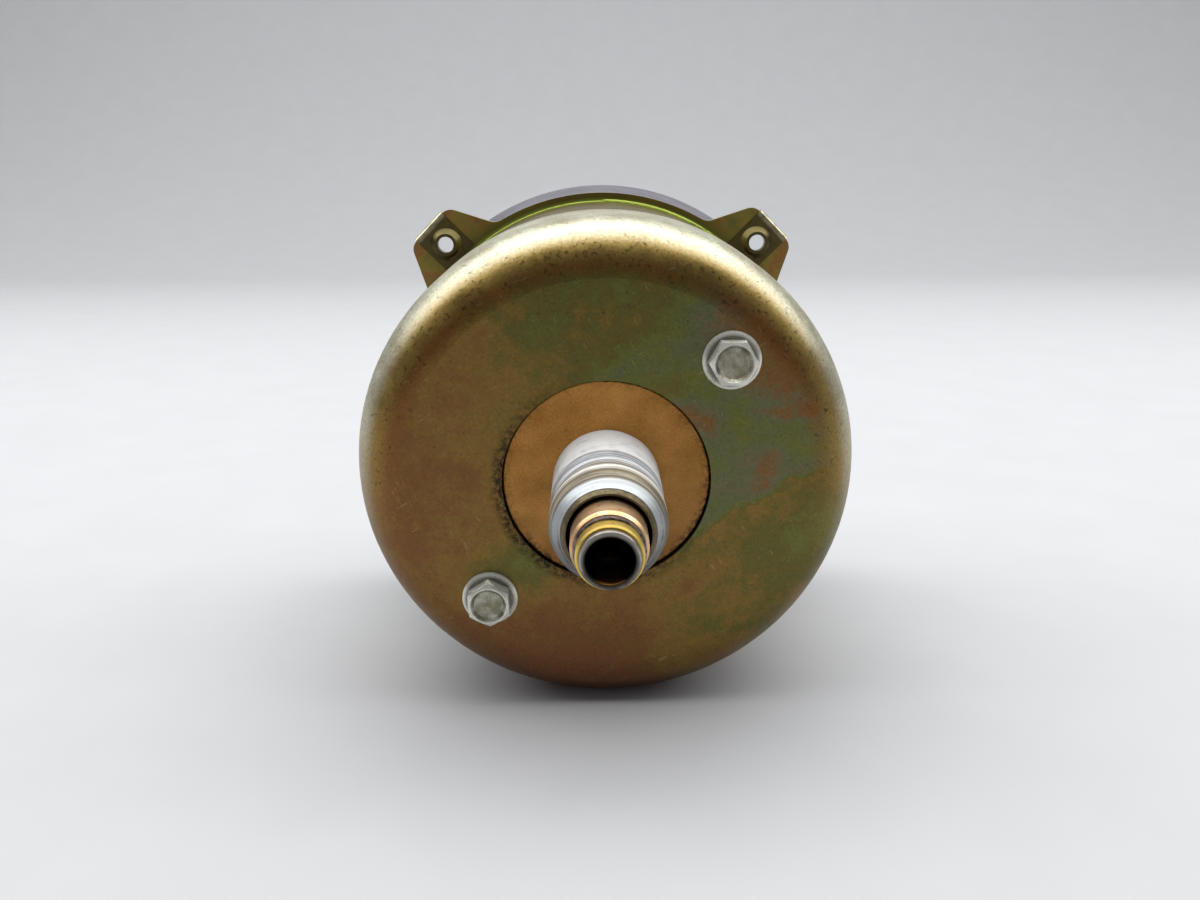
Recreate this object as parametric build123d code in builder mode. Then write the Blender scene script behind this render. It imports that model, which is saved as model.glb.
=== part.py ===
from build123d import *
import os
from math import atan2, cos, degrees, pi, radians, sin

# Frame, in millimetres. The origin is the centre of the four mounting holes, on the front face of
# the ears. +Y runs out of the dial towards the pilot, +Z is up, and the drive stem points along -Y.
os.makedirs("parts", exist_ok=True)

# Driving dimensions of the case and its front
hole_spacing = 62.87
back = -58.2
case_radius = 40.5
case_sheet = 0.8
case_edge_radius = 8.5
case_depth = 22.0
case_hole_radius = 16.5
sheet = 1.0
skirt_radius = 39.6
skirt_back = back + 13.0
flange_radius = 41.4
bend_radius = 0.5
ear_tip_along = 49.2
ear_tip_half_width = 5.37
ear_root_along = 38.2
ear_root_half_width = 11.05
ear_tip_round = 2.5
ear_root_round = 3.0
ear_hole_radius = 2.2
bezel_front = 5.8
bezel_radius = 42.6
bezel_body_radius = 41.0
bezel_bore = 38.9
lip_flare = 0.6
lip_edge = 0.3
bore_edge = 0.7

# Driving dimensions of the clip nuts and the case screws
clip_sheet = 0.5
clip_width = 7.7
clip_rear_end = 40.3
clip_front_end = 41.6
clip_thread_radius = 1.6
clip_collar_radius = 3.2
clip_collar_top = 2.2
clip_collar_height = 1.2
clip_tongue_half_width = 1.7
clip_tongue_end = 41.3
clip_tongue_height = 0.5
screw_x = 19.06
screw_z = 19.62
screw_washer_radius = 4.5
screw_washer_height = 0.8
screw_washer_edge = 0.3
screw_hex_width = 6.5
screw_head_height = 3.4
screw_crown_radius = 3.05
screw_crown_slope = 60
screw_dish_radius = 2.85
screw_dish_depth = 0.5
screw_dish_slope = 45
screw_turns = [0, 33]
screw_shank_radius = 2.05
screw_shank_length = 7.0
screw_hole_clearance = 0.25
press_clearance = 0.02

# Driving dimensions of the stem and what comes out of it
boss_radius = 16.4
boss_face = back + 0.8
stem_radius = 8.46
stem_end = back - 21.2
stem_nose_radius = 8.05
stem_shank_radius = 7.2
drive_land_end = back - 9.5
worn_groove_end = back - 15.5
worn_step = 0.06
worn_groove_depth = 0.22
stem_bore = 5.9
liner_radius = 6.7
liner_bore = 5.95
liner_back = stem_end - 0.7
liner_length = 8.0
bush_nose_radius = 5.33
bush_nose_end = back - 26.3
bush_bore = 4.2
spindle_radius = 4.16
spindle_end = back - 30.2
spindle_lip = 0.42
spindle_hole_radius = 3.2
spindle_hole_depth = 7.5
square_drive = 3.3
square_depth = 10.0
collar_radius = 4.6
collar_width = 1.9
collar_edge = 0.25
snap_ring_radius = 4.9
snap_groove_radius = 3.85

# Driving dimensions of the movement frame
plate_back = back + 10.0
plate_front = back + 13.0
front_plate_back = back + 51.7
front_plate_front = back + 53.7
dial_front = back + 54.5
frame_radius = 39.4
inner_radius = 38.5
post_places = [(28.0, 18.0), (-28.0, 18.0), (30.0, -14.0), (-30.0, -14.0)]
post_radius = 3.0
post_thread_radius = 1.27
small_thread_radius = 0.97
bridge_back = back + 37.0
bridge_front = back + 38.5
bridge_post_x = 18.5
bridge_post_radius = 2.6
staff_radius = 0.8

# Driving dimensions of the worm gearing: single-start worms of module 0.3
module = 0.3
spindle_worm_pitch = 3.0
shaft_worm_pitch = 1.6
worm_root_drop = 0.4
wheel_teeth = 40
counter_teeth = 45
wheel_width = 2.5
cross_y = back + 20.0
shaft_radius = 1.0
shaft_clearance = 0.05

# Driving dimensions of the hour recorder
drum_count = 5
drum_pitch = 5.0
drum_radius = 7.0
drum_rim = 3.4
drum_y = back + 45.5
drum_z = -15.0
drum_gear_teeth = 20
drum_gear_tip = 6.9
drum_gear_root = 5.7
lock_disc_radius = 6.72
lock_disc_width = 0.7
drum_gear_width = 0.8
axle_radius = 1.5
pinion_axle_radius = 0.7
pinion_reach = 8.96
pinion_tip = 3.1
pinion_root = 2.0

# Values worked out from them
half_spacing = hole_spacing / 2
hole_along = half_spacing * 2 ** 0.5
hole_places = [(half_spacing, half_spacing), (-half_spacing, half_spacing),
               (-half_spacing, -half_spacing), (half_spacing, -half_spacing)]
screw_places = [(screw_x, screw_z), (-screw_x, -screw_z)]
wheel_pitch = module * wheel_teeth / 2
counter_pitch = module * counter_teeth / 2
cross_x = -(spindle_worm_pitch + wheel_pitch)
lay_x = cross_x - (shaft_worm_pitch + wheel_pitch)
lay_z = drum_z - (shaft_worm_pitch + counter_pitch)
pinion_y = drum_y - pinion_reach * cos(radians(45))
pinion_z = drum_z - pinion_reach * sin(radians(45))
first_drum_x = -drum_pitch * (drum_count - 1) / 2


def across(y):
    """A plane across the main axis, seen from behind: x is X, y is Z, and extruding goes back."""
    return Plane.XZ.offset(-y)


def pilot_view(y, x=0.0, z=0.0):
    """A plane across the main axis, seen by the pilot: x is -X, y is Z, and extruding goes forward."""
    return Plane(origin=(x, y, z), x_dir=(-1, 0, 0), z_dir=(0, 1, 0))


def beside(x):
    """A plane across the counter axle: x is Y, y is Z, and extruding goes towards +X."""
    return Plane.YZ.offset(x)


def wheel_outline(teeth, root, tip, root_share=0.62, tip_share=0.3):
    """Corners of a toothed wheel with straight flanks and its first tooth at angle nought.

    The shares are a tooth's width at the root and at the tip, as parts of the pitch.
    """
    step = 2 * pi / teeth
    corners = []
    tooth_form = ((root, -root_share), (tip, -tip_share), (tip, tip_share), (root, root_share))
    for tooth in range(teeth):
        for radius, share in tooth_form:
            angle = (tooth + share / 2) * step
            corners.append((radius * cos(angle), radius * sin(angle)))
    return corners


# Rear case: a deep-drawn steel cup with a large rounded edge, open towards the front
with BuildPart() as rear_case:
    with BuildSketch(across(back + case_depth)):
        Circle(case_radius)
    extrude(amount=case_depth)
    fillet(rear_case.edges().sort_by(Axis.Y)[0], case_edge_radius)
    offset(amount=-case_sheet, openings=rear_case.faces().sort_by(Axis.Y)[-1])
    with BuildSketch(across(back)):
        Circle(case_hole_radius)
        with Locations(*screw_places):
            Circle(screw_shank_radius + screw_hole_clearance)
    extrude(amount=-2 * case_sheet, mode=Mode.SUBTRACT)
rear_case.part.label = "rear_case"
export_step(rear_case.part, "parts/rear_case.step")


# Front housing: skirt, flange and four ears pressed from one sheet
with BuildPart() as front_housing:
    with BuildSketch():
        with BuildLine():
            inside = Line((skirt_radius - sheet, skirt_back),
                          (skirt_radius - sheet, -bend_radius - sheet))
            front_bend = JernArc(inside @ 1, inside % 1, bend_radius + sheet, -90)
            flange_front = Line(front_bend @ 1, (flange_radius, 0))
            flange_edge = Line(flange_front @ 1, (flange_radius, -sheet))
            flange_rear = Line(flange_edge @ 1, (skirt_radius + bend_radius, -sheet))
            rear_bend = JernArc(flange_rear @ 1, flange_rear % 1, bend_radius, 90)
            outside = Line(rear_bend @ 1, (skirt_radius, skirt_back))
            Line(outside @ 1, inside @ 0)
        make_face()
    revolve(axis=Axis.Y)
    with BuildSketch(across(0)) as ears:
        Circle(flange_radius)
        with Locations([Location((0, 0), angle) for angle in (45, 135, 225, 315)]):
            Polygon((ear_root_along, ear_root_half_width), (ear_tip_along, ear_tip_half_width),
                    (ear_tip_along, -ear_tip_half_width), (ear_root_along, -ear_root_half_width),
                    align=None)
        tips = ears.vertices().filter_by(lambda tip: tip.distance_to((0, 0, 0)) > hole_along)
        fillet(tips, ear_tip_round)
        roots = ears.vertices().filter_by(lambda root: root.distance_to((0, 0, 0)) < hole_along)
        fillet(roots, ear_root_round)
        Circle(skirt_radius + bend_radius, mode=Mode.SUBTRACT)
        with Locations(*hole_places):
            Circle(ear_hole_radius, mode=Mode.SUBTRACT)
    extrude(amount=sheet)
front_housing.part.label = "front_housing"
export_step(front_housing.part, "parts/front_housing.step")


# Bezel ring: turned, with a flared front lip, a pocket for the glass and a groove for its ring
lens_back = back + 60.2
lens_front = back + 62.2
lens_ring_groove = 0.8
groove_front = lens_front + lens_ring_groove
with BuildPart() as bezel_ring:
    with BuildSketch():
        with BuildLine():
            Polyline((bezel_bore, 0), (bezel_body_radius, 0), (bezel_body_radius, lens_front),
                     (bezel_radius, lens_front + lip_flare), (bezel_radius, bezel_front - lip_edge),
                     (bezel_radius - lip_edge, bezel_front), (bezel_bore + bore_edge, bezel_front),
                     (bezel_bore, bezel_front - bore_edge), (bezel_bore, groove_front),
                     (bezel_bore + lens_ring_groove, groove_front),
                     (bezel_bore + lens_ring_groove, lens_front),
                     (bezel_bore, lens_front), close=True)
        make_face()
    revolve(axis=Axis.Y)
bezel_ring.part.label = "bezel_ring"
export_step(bezel_ring.part, "parts/bezel_ring.step")


# Lens: flat glass on a flat gasket, held by a split ring in the bezel's groove
lens_radius = bezel_bore - 0.1
with BuildPart() as lens_glass:
    with BuildSketch(across(lens_front)):
        Circle(lens_radius)
    extrude(amount=lens_front - lens_back)
    chamfer(lens_glass.edges(), 0.2)
lens_glass.part.label = "lens_glass"
export_step(lens_glass.part, "parts/lens_glass.step")

gasket_back = lens_back - 0.8
opening_radius = 36.6
with BuildPart() as lens_gasket:
    with BuildSketch(across(lens_back)):
        Circle(lens_radius)
        Circle(opening_radius, mode=Mode.SUBTRACT)
    extrude(amount=lens_back - gasket_back)
lens_gasket.part.label = "lens_gasket"
export_step(lens_gasket.part, "parts/lens_gasket.step")

lens_ring_wire = 0.7
lens_ring_gap = 9.0
with BuildPart() as lens_snap_ring:
    with BuildSketch(across(lens_front + lens_ring_wire)):
        Circle(bezel_bore + lens_ring_wire)
        Circle(bezel_bore - 1.0, mode=Mode.SUBTRACT)
        with Locations((0, -bezel_bore)):
            Rectangle(lens_ring_gap, 6, mode=Mode.SUBTRACT)
    extrude(amount=lens_ring_wire)
lens_snap_ring.part.label = "lens_snap_ring"
export_step(lens_snap_ring.part, "parts/lens_snap_ring.step")


# Dial: a flat disc with a window for the hour drums, and a tapered ring between it and the gasket
dial_radius = inner_radius - 0.2
window_width = 25.6
window_height = 5.6
dial_screw_x = 30.5
dial_screw_places = [(dial_screw_x, 0), (-dial_screw_x, 0)]
with BuildPart() as dial_plate:
    with BuildSketch(across(dial_front)):
        Circle(dial_radius)
        Circle(1.8, mode=Mode.SUBTRACT)
        with Locations((0, drum_z)):
            RectangleRounded(window_width, window_height, 0.5, mode=Mode.SUBTRACT)
        with Locations(*dial_screw_places):
            Circle(1.05, mode=Mode.SUBTRACT)
    extrude(amount=dial_front - front_plate_front)
dial_plate.part.label = "dial_plate"
export_step(dial_plate.part, "parts/dial_plate.step")

with BuildPart() as dial_spacer:
    with BuildSketch():
        with BuildLine():
            Polyline((inner_radius - 0.1, dial_front), (inner_radius - 0.1, gasket_back),
                     (inner_radius - 1.0, gasket_back), (opening_radius, dial_front), close=True)
        make_face()
    revolve(axis=Axis.Y)
dial_spacer.part.label = "dial_spacer"
export_step(dial_spacer.part, "parts/dial_spacer.step")

dial_screw_head = 0.8
dial_screw_radius = 1.8
with BuildPart() as dial_screws:
    with BuildSketch(across(dial_front + dial_screw_head)):
        with Locations(*dial_screw_places):
            Circle(dial_screw_radius)
    extrude(amount=dial_screw_head)
    with BuildSketch(across(dial_front)):
        with Locations(*dial_screw_places):
            Circle(small_thread_radius - press_clearance)
    extrude(amount=2.3)
    with BuildSketch(across(dial_front + dial_screw_head)):
        with Locations(*dial_screw_places):
            Rectangle(2 * dial_screw_radius + 0.4, 0.45)
    extrude(amount=dial_screw_head / 2, mode=Mode.SUBTRACT)
dial_screws.part.label = "dial_screws"
export_step(dial_screws.part, "parts/dial_screws.step")


# Movement frame: one casting with a back plate, the boss that fills the case's hole, two bosses for
# the case screws, four pillars for the front plate, two for the cup bridge and two bearing lugs
lug_width = 5.0
lug_reach = 3.2
top_lug_z = 4.9
low_lug_z = -29.7
lug_thickness = 2.6
lay_pivot_radius = 0.8
spigot_height = 1.2
screw_boss_radius = 4.2
boss_edge = 0.3
relief_places = [(0, 28), (26, -26), (-30, 2)]
relief_radius = 4.5
bridge_places = [(bridge_post_x, 0), (-bridge_post_x, 0)]
with BuildPart() as movement_frame:
    with BuildSketch(across(plate_front)):
        Circle(frame_radius)
    extrude(amount=plate_front - plate_back)
    with BuildSketch(across(plate_front)):
        Circle(inner_radius)
        Circle(inner_radius - 2.0, mode=Mode.SUBTRACT)
    extrude(amount=-spigot_height)
    with BuildSketch(across(plate_back)):
        Circle(boss_radius)
    extrude(amount=plate_back - boss_face)
    fillet(movement_frame.edges().group_by(Axis.Y)[0], boss_edge)
    with BuildSketch(across(plate_back)):
        with Locations(*screw_places):
            Circle(screw_boss_radius)
    extrude(amount=plate_back - boss_face, taper=1.5)
    with BuildSketch(across(plate_front)):
        with Locations(*post_places):
            Circle(post_radius)
    extrude(amount=plate_front - front_plate_back)
    with BuildSketch(across(plate_front)):
        with Locations(*bridge_places):
            Circle(bridge_post_radius)
    extrude(amount=plate_front - bridge_back)
    with BuildSketch(across(plate_front)):
        with Locations((cross_x, top_lug_z), (cross_x, low_lug_z)):
            Rectangle(lug_width, lug_thickness)
    extrude(amount=plate_front - cross_y - lug_reach)
    fillet(movement_frame.edges().filter_by(Axis.Z).group_by(Axis.Y)[-1], 2.0)
    with BuildSketch(across(boss_face)):
        Circle(stem_shank_radius + press_clearance)
    extrude(amount=boss_face - plate_front, mode=Mode.SUBTRACT)
    with BuildSketch(across(boss_face)):
        with Locations(*screw_places):
            Circle(screw_shank_radius + press_clearance)
    extrude(amount=-screw_shank_length - 0.5, mode=Mode.SUBTRACT)
    with BuildSketch(Plane.XY.offset(low_lug_z - lug_thickness)):
        with Locations((cross_x, cross_y)):
            Circle(shaft_radius + shaft_clearance)
    extrude(amount=top_lug_z - low_lug_z + 2 * lug_thickness, mode=Mode.SUBTRACT)
    with BuildSketch(across(plate_front)):
        with Locations((lay_x, lay_z)):
            Circle(lay_pivot_radius + shaft_clearance)
    extrude(amount=2.2, mode=Mode.SUBTRACT)
    with BuildSketch(across(front_plate_back)):
        with Locations(*post_places):
            Circle(post_thread_radius)
    extrude(amount=6.5, mode=Mode.SUBTRACT)
    with BuildSketch(across(bridge_back)):
        with Locations(*bridge_places):
            Circle(small_thread_radius)
    extrude(amount=5.0, mode=Mode.SUBTRACT)
    with BuildSketch(across(plate_front)):
        with Locations(*relief_places):
            Circle(relief_radius)
    extrude(amount=plate_front - plate_back, mode=Mode.SUBTRACT)
movement_frame.part.label = "movement_frame"
export_step(movement_frame.part, "parts/movement_frame.step")


# Case screws: hexagon heads with a washer face and a dished top
with BuildPart() as case_screws:
    with BuildSketch(across(back)):
        for place, turn in zip(screw_places, screw_turns):
            with Locations(place):
                RegularPolygon(screw_hex_width / 2, 6, major_radius=False, rotation=turn)
    extrude(amount=screw_head_height)
    with BuildSketch(across(back - screw_head_height)):
        with Locations(*screw_places):
            Circle(screw_crown_radius)
    extrude(amount=-screw_head_height, taper=-screw_crown_slope, mode=Mode.INTERSECT)
    with BuildSketch(across(back)):
        with Locations(*screw_places):
            Circle(screw_washer_radius)
    extrude(amount=screw_washer_height - screw_washer_edge)
    with BuildSketch(across(back - screw_washer_height + screw_washer_edge)):
        with Locations(*screw_places):
            Circle(screw_washer_radius)
    extrude(amount=screw_washer_edge, taper=screw_crown_slope)
    with BuildSketch(across(back - screw_head_height)):
        with Locations(*screw_places):
            Circle(screw_dish_radius)
    extrude(amount=-screw_dish_depth, taper=screw_dish_slope, mode=Mode.SUBTRACT)
    with BuildSketch(across(back)):
        with Locations(*screw_places):
            Circle(screw_shank_radius)
    extrude(amount=-screw_shank_length)
case_screws.part.label = "case_screws"
export_step(case_screws.part, "parts/case_screws.step")


# Clip nuts: spring-steel clips folded over the ears, with a drawn and threaded collar behind
clip_outer_end = ear_tip_along + clip_sheet
clip_bend = 0.9
clip_collar_slope = degrees(atan2(clip_collar_radius - clip_collar_top, clip_collar_height))
with BuildPart() as clip_nut:
    with BuildSketch() as fold:
        with BuildLine():
            Polyline((clip_rear_end, -sheet - clip_sheet), (clip_outer_end, -sheet - clip_sheet),
                     (clip_outer_end, clip_sheet), (clip_front_end, clip_sheet), (clip_front_end, 0),
                     (ear_tip_along, 0), (ear_tip_along, -sheet), (clip_rear_end, -sheet), close=True)
        make_face()
        fillet(fold.vertices().group_by(Axis.X)[-1], clip_bend)
    extrude(amount=clip_width / 2, both=True)
    with BuildSketch(across(-sheet - clip_sheet)):
        with Locations(((hole_along + clip_tongue_end) / 2, 0)):
            Rectangle(hole_along - clip_tongue_end, 2 * clip_tongue_half_width)
    extrude(amount=clip_tongue_height)
    with BuildSketch(across(-sheet - clip_sheet)):
        with Locations((hole_along, 0)):
            Circle(clip_collar_radius)
    extrude(amount=clip_collar_height, taper=clip_collar_slope)
    with BuildSketch(across(-sheet - clip_sheet - clip_collar_height)):
        with Locations((hole_along, 0)):
            Circle(clip_thread_radius)
    extrude(amount=-clip_sheet - clip_collar_height, mode=Mode.SUBTRACT)
    with BuildSketch(across(0)):
        with Locations((hole_along, 0)):
            Circle(ear_hole_radius)
    extrude(amount=-clip_sheet, mode=Mode.SUBTRACT)

with BuildPart() as clip_nuts:
    for turn in (45, 135, 225, 315):
        add(clip_nut.part, rotation=(0, turn, 0))
clip_nuts.part.label = "clip_nuts"
export_step(clip_nuts.part, "parts/clip_nuts.step")


# Drive stem: turned steel with shallow worn grooves, pressed into the frame's boss
with BuildPart() as drive_stem:
    with BuildSketch():
        with BuildLine():
            Polyline((stem_bore, plate_front), (stem_shank_radius, plate_front),
                     (stem_shank_radius, boss_face), (stem_radius, boss_face),
                     (stem_radius, drive_land_end),
                     (stem_radius - worn_step, drive_land_end - 0.2),
                     (stem_radius - worn_step, worn_groove_end + 2.9),
                     (stem_radius - worn_groove_depth, worn_groove_end + 2.6),
                     (stem_radius - worn_groove_depth, worn_groove_end + 0.3),
                     (stem_radius, worn_groove_end), (stem_radius, stem_end + 3.0),
                     (stem_nose_radius, stem_end + 2.6), (stem_nose_radius, stem_end + 1.35),
                     (stem_nose_radius - 0.2, stem_end + 1.15), (liner_radius + 0.1, stem_end),
                     (liner_radius, stem_end), (liner_radius, liner_back + liner_length),
                     (stem_bore, liner_back + liner_length), close=True)
        make_face()
    revolve(axis=Axis.Y)
drive_stem.part.label = "drive_stem"
export_step(drive_stem.part, "parts/drive_stem.step")

with BuildPart() as stem_liner:
    with BuildSketch(across(liner_back)):
        Circle(liner_radius - press_clearance)
        Circle(liner_bore, mode=Mode.SUBTRACT)
    extrude(amount=-liner_length)
    chamfer(stem_liner.edges().group_by(Axis.Y)[0].sort_by(SortBy.RADIUS)[-1], 0.6, 0.45)
stem_liner.part.label = "stem_liner"
export_step(stem_liner.part, "parts/stem_liner.step")

# Stem bush: a long bronze bearing whose nose stands out of the stem
bush_radius = stem_bore - press_clearance
bush_front = plate_front - 0.9
bush_shoulder = back - 12.8
bush_edge = 0.35
with BuildPart() as stem_bush:
    with BuildSketch():
        with BuildLine():
            Polyline((bush_bore, bush_front), (bush_radius, bush_front), (bush_radius, bush_shoulder),
                     (bush_nose_radius, bush_shoulder - 0.5),
                     (bush_nose_radius, bush_nose_end + 1.5 * bush_edge),
                     (bush_nose_radius - bush_edge, bush_nose_end),
                     (bush_bore, bush_nose_end), close=True)
        make_face()
    revolve(axis=Axis.Y)
stem_bush.part.label = "stem_bush"
export_step(stem_bush.part, "parts/stem_bush.step")


# Drive spindle: a hollow end with a round mouth and a square socket, a thrust collar, the first worm
# and the seat of the magnet, with a pivot hole for the pointer staff in its front face
groove_back = back - 27.3
groove_front_y = back - 26.4
thrust_back = plate_front - 0.7
thrust_radius = 5.6
thrust_width = 1.4
spindle_worm_root = spindle_worm_pitch - worm_root_drop
magnet_back = back + 28.0
magnet_front = back + 33.2
magnet_radius = 10.2
magnet_shoulder = 3.4
magnet_seat = 2.4
spindle_front = back + 33.6
socket_floor = spindle_end + spindle_hole_depth
pivot_radius = 0.3
pivot_back = back + 32.6
with BuildPart() as drive_spindle:
    with BuildSketch():
        with BuildLine():
            Polyline((0, socket_floor), (spindle_hole_radius, socket_floor),
                     (spindle_hole_radius, spindle_end), (spindle_radius, spindle_end),
                     (spindle_radius, groove_back), (snap_groove_radius, groove_back),
                     (snap_groove_radius, groove_front_y), (spindle_radius, groove_front_y),
                     (spindle_radius, thrust_back), (thrust_radius, thrust_back),
                     (thrust_radius, thrust_back + thrust_width),
                     (spindle_worm_root, thrust_back + thrust_width),
                     (spindle_worm_root, magnet_back - 1.5), (magnet_shoulder, magnet_back - 1.5),
                     (magnet_shoulder, magnet_back), (magnet_seat, magnet_back),
                     (magnet_seat, spindle_front), (0, spindle_front), close=True)
        make_face()
    revolve(axis=Axis.Y)
    fillet(drive_spindle.edges().group_by(Axis.Y)[0], spindle_lip)
    with BuildSketch(across(socket_floor)):
        Rectangle(square_drive, square_drive)
    extrude(amount=-square_depth, mode=Mode.SUBTRACT)
    with BuildSketch(across(spindle_front)):
        Circle(pivot_radius + 0.06)
    extrude(amount=1.4, mode=Mode.SUBTRACT)
drive_spindle.part.label = "drive_spindle"
export_step(drive_spindle.part, "parts/drive_spindle.step")

with BuildPart() as spindle_snap_ring:
    with BuildSketch(across(groove_front_y)):
        Circle(snap_ring_radius)
        Circle(snap_groove_radius + press_clearance, mode=Mode.SUBTRACT)
        with Locations(Location((0, 0), 250)):
            Polygon((0, 0), (7, 3.2), (7, -3.2), align=None, mode=Mode.SUBTRACT)
    extrude(amount=groove_front_y - groove_back)
spindle_snap_ring.part.label = "spindle_snap_ring"
export_step(spindle_snap_ring.part, "parts/spindle_snap_ring.step")

with BuildPart() as spindle_collar:
    with BuildSketch(across(groove_back)):
        Circle(collar_radius)
        Circle(spindle_radius + press_clearance, mode=Mode.SUBTRACT)
    extrude(amount=collar_width)
    chamfer(spindle_collar.edges().group_by(Axis.Y)[0].sort_by(SortBy.RADIUS)[-1], collar_edge)
spindle_collar.part.label = "spindle_collar"
export_step(spindle_collar.part, "parts/spindle_collar.step")

with BuildPart() as drive_magnet:
    with BuildSketch(across(magnet_front)):
        Circle(magnet_radius)
        Circle(magnet_seat + press_clearance, mode=Mode.SUBTRACT)
    extrude(amount=magnet_front - magnet_back)
    chamfer(drive_magnet.edges().filter_by(GeomType.CIRCLE).sort_by(SortBy.RADIUS)[-2:], 0.5)
drive_magnet.part.label = "drive_magnet"
export_step(drive_magnet.part, "parts/drive_magnet.step")


# Speed group: a steel flux cup on the bridge, and the drag cup that turns the pointer staff
drag_base = back + 35.0
drag_radius = 11.3
drag_depth = 6.8
cup_sheet = 0.4
flux_radius = 12.8
flux_depth = 9.5
flux_sheet = 0.8
staff_hole = 1.6
bridge_width = 8.0
with BuildPart() as cup_bridge:
    with BuildSketch(across(bridge_front)):
        SlotOverall(2 * bridge_post_x + bridge_width, bridge_width)
        Circle(bridge_width)
        Circle(staff_hole, mode=Mode.SUBTRACT)
        with Locations(*bridge_places):
            Circle(1.2, mode=Mode.SUBTRACT)
    extrude(amount=bridge_front - bridge_back)
cup_bridge.part.label = "cup_bridge"
export_step(cup_bridge.part, "parts/cup_bridge.step")

bridge_screw_head = 1.1
bridge_screw_radius = 1.9
with BuildPart() as bridge_screws:
    with BuildSketch(across(bridge_front + bridge_screw_head)):
        with Locations(*bridge_places):
            Circle(bridge_screw_radius)
    extrude(amount=bridge_screw_head)
    with BuildSketch(across(bridge_front)):
        with Locations(*bridge_places):
            Circle(small_thread_radius - press_clearance)
    extrude(amount=6.0)
    with BuildSketch(across(bridge_front + bridge_screw_head)):
        with Locations(*bridge_places):
            Rectangle(2 * bridge_screw_radius + 0.4, 0.5)
    extrude(amount=bridge_screw_head / 2, mode=Mode.SUBTRACT)
bridge_screws.part.label = "bridge_screws"
export_step(bridge_screws.part, "parts/bridge_screws.step")

with BuildPart() as flux_cup:
    with BuildSketch(across(bridge_back)):
        Circle(flux_radius)
    extrude(amount=flux_depth)
    fillet(flux_cup.edges().sort_by(Axis.Y)[-1], 1.0)
    offset(amount=-flux_sheet, openings=flux_cup.faces().sort_by(Axis.Y)[0])
    with BuildSketch(across(bridge_back)):
        Circle(staff_hole)
    extrude(amount=flux_sheet, mode=Mode.SUBTRACT)
flux_cup.part.label = "flux_cup"
export_step(flux_cup.part, "parts/flux_cup.step")

with BuildPart() as drag_cup:
    with BuildSketch(across(drag_base + cup_sheet)):
        Circle(drag_radius)
    extrude(amount=drag_depth)
    offset(amount=-cup_sheet, openings=drag_cup.faces().sort_by(Axis.Y)[0])
    with BuildSketch(across(drag_base)):
        Circle(1.5)
    extrude(amount=0.8)
    with BuildSketch(across(drag_base + cup_sheet)):
        Circle(staff_radius)
    extrude(amount=2.0, mode=Mode.SUBTRACT)
drag_cup.part.label = "drag_cup"
export_step(drag_cup.part, "parts/drag_cup.step")

pointer_back = back + 55.5
with BuildPart() as pointer_staff:
    with BuildSketch():
        with BuildLine():
            Polyline((0, pivot_back), (pivot_radius, pivot_back), (pivot_radius, spindle_front + 0.2),
                     (staff_radius, spindle_front + 0.5), (staff_radius, pointer_back + 0.5),
                     (0, pointer_back + 0.5), close=True)
        make_face()
    revolve(axis=Axis.Y)
pointer_staff.part.label = "pointer_staff"
export_step(pointer_staff.part, "parts/pointer_staff.step")

spring_y = back + 40.6
spring_width = 0.6
spring_thickness = 0.16
collet_radius = 1.75
with BuildPart() as spring_collet:
    with BuildSketch(across(spring_y + 0.2)):
        Circle(collet_radius)
        Circle(staff_radius, mode=Mode.SUBTRACT)
    extrude(amount=2 * spring_width)
spring_collet.part.label = "spring_collet"
export_step(spring_collet.part, "parts/spring_collet.step")

# Hairspring: a flat spiral of half circles struck from two centres, pinned to a stud at its outer end
spring_start = collet_radius + 0.2
spring_step = 0.5
spring_halves = 8
with BuildPart() as hairspring:
    with BuildSketch(across(spring_y)):
        with BuildLine():
            for half in range(spring_halves):
                centre_x = spring_step if half % 2 else 0
                CenterArc((centre_x, 0), spring_start + half * spring_step, 180 * (half % 2), 180)
        trace(line_width=spring_thickness)
    extrude(amount=spring_width)
hairspring.part.label = "hairspring"
export_step(hairspring.part, "parts/hairspring.step")

stud_radius = 0.5
stud_x = spring_start + spring_halves * spring_step + stud_radius + 0.1
with BuildPart() as hairspring_stud:
    with BuildSketch(across(spring_y)):
        with Locations((stud_x, 0)):
            Circle(stud_radius)
    extrude(amount=spring_y - bridge_front)
hairspring_stud.part.label = "hairspring_stud"
export_step(hairspring_stud.part, "parts/hairspring_stud.step")


# Front plate: closes the frame in front, with a window for the drums and a bush for the staff
plate_window_left = lay_x - wheel_width / 2 - 1.0
plate_window_right = 13.2
plate_window_height = 15.2
staff_bush_radius = 2.0
plate_screw_radius = 1.25
plate_screw_head = 2.55
head_clearance = 0.05
with BuildPart() as front_plate:
    with BuildSketch(across(front_plate_front)):
        Circle(inner_radius)
        Circle(staff_bush_radius, mode=Mode.SUBTRACT)
        with Locations(((plate_window_left + plate_window_right) / 2, drum_z)):
            Rectangle(plate_window_right - plate_window_left, plate_window_height,
                      mode=Mode.SUBTRACT)
        with Locations(*dial_screw_places):
            Circle(small_thread_radius, mode=Mode.SUBTRACT)
    extrude(amount=front_plate_front - front_plate_back)
    with Locations(*[pilot_view(front_plate_front, x, z) for x, z in post_places]):
        CounterSinkHole(plate_screw_radius + head_clearance, plate_screw_head + head_clearance)
    with BuildSketch(across(front_plate_back)):
        with Locations((lay_x, lay_z)):
            Circle(lay_pivot_radius + shaft_clearance)
    extrude(amount=-1.6, mode=Mode.SUBTRACT)
front_plate.part.label = "front_plate"
export_step(front_plate.part, "parts/front_plate.step")

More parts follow.
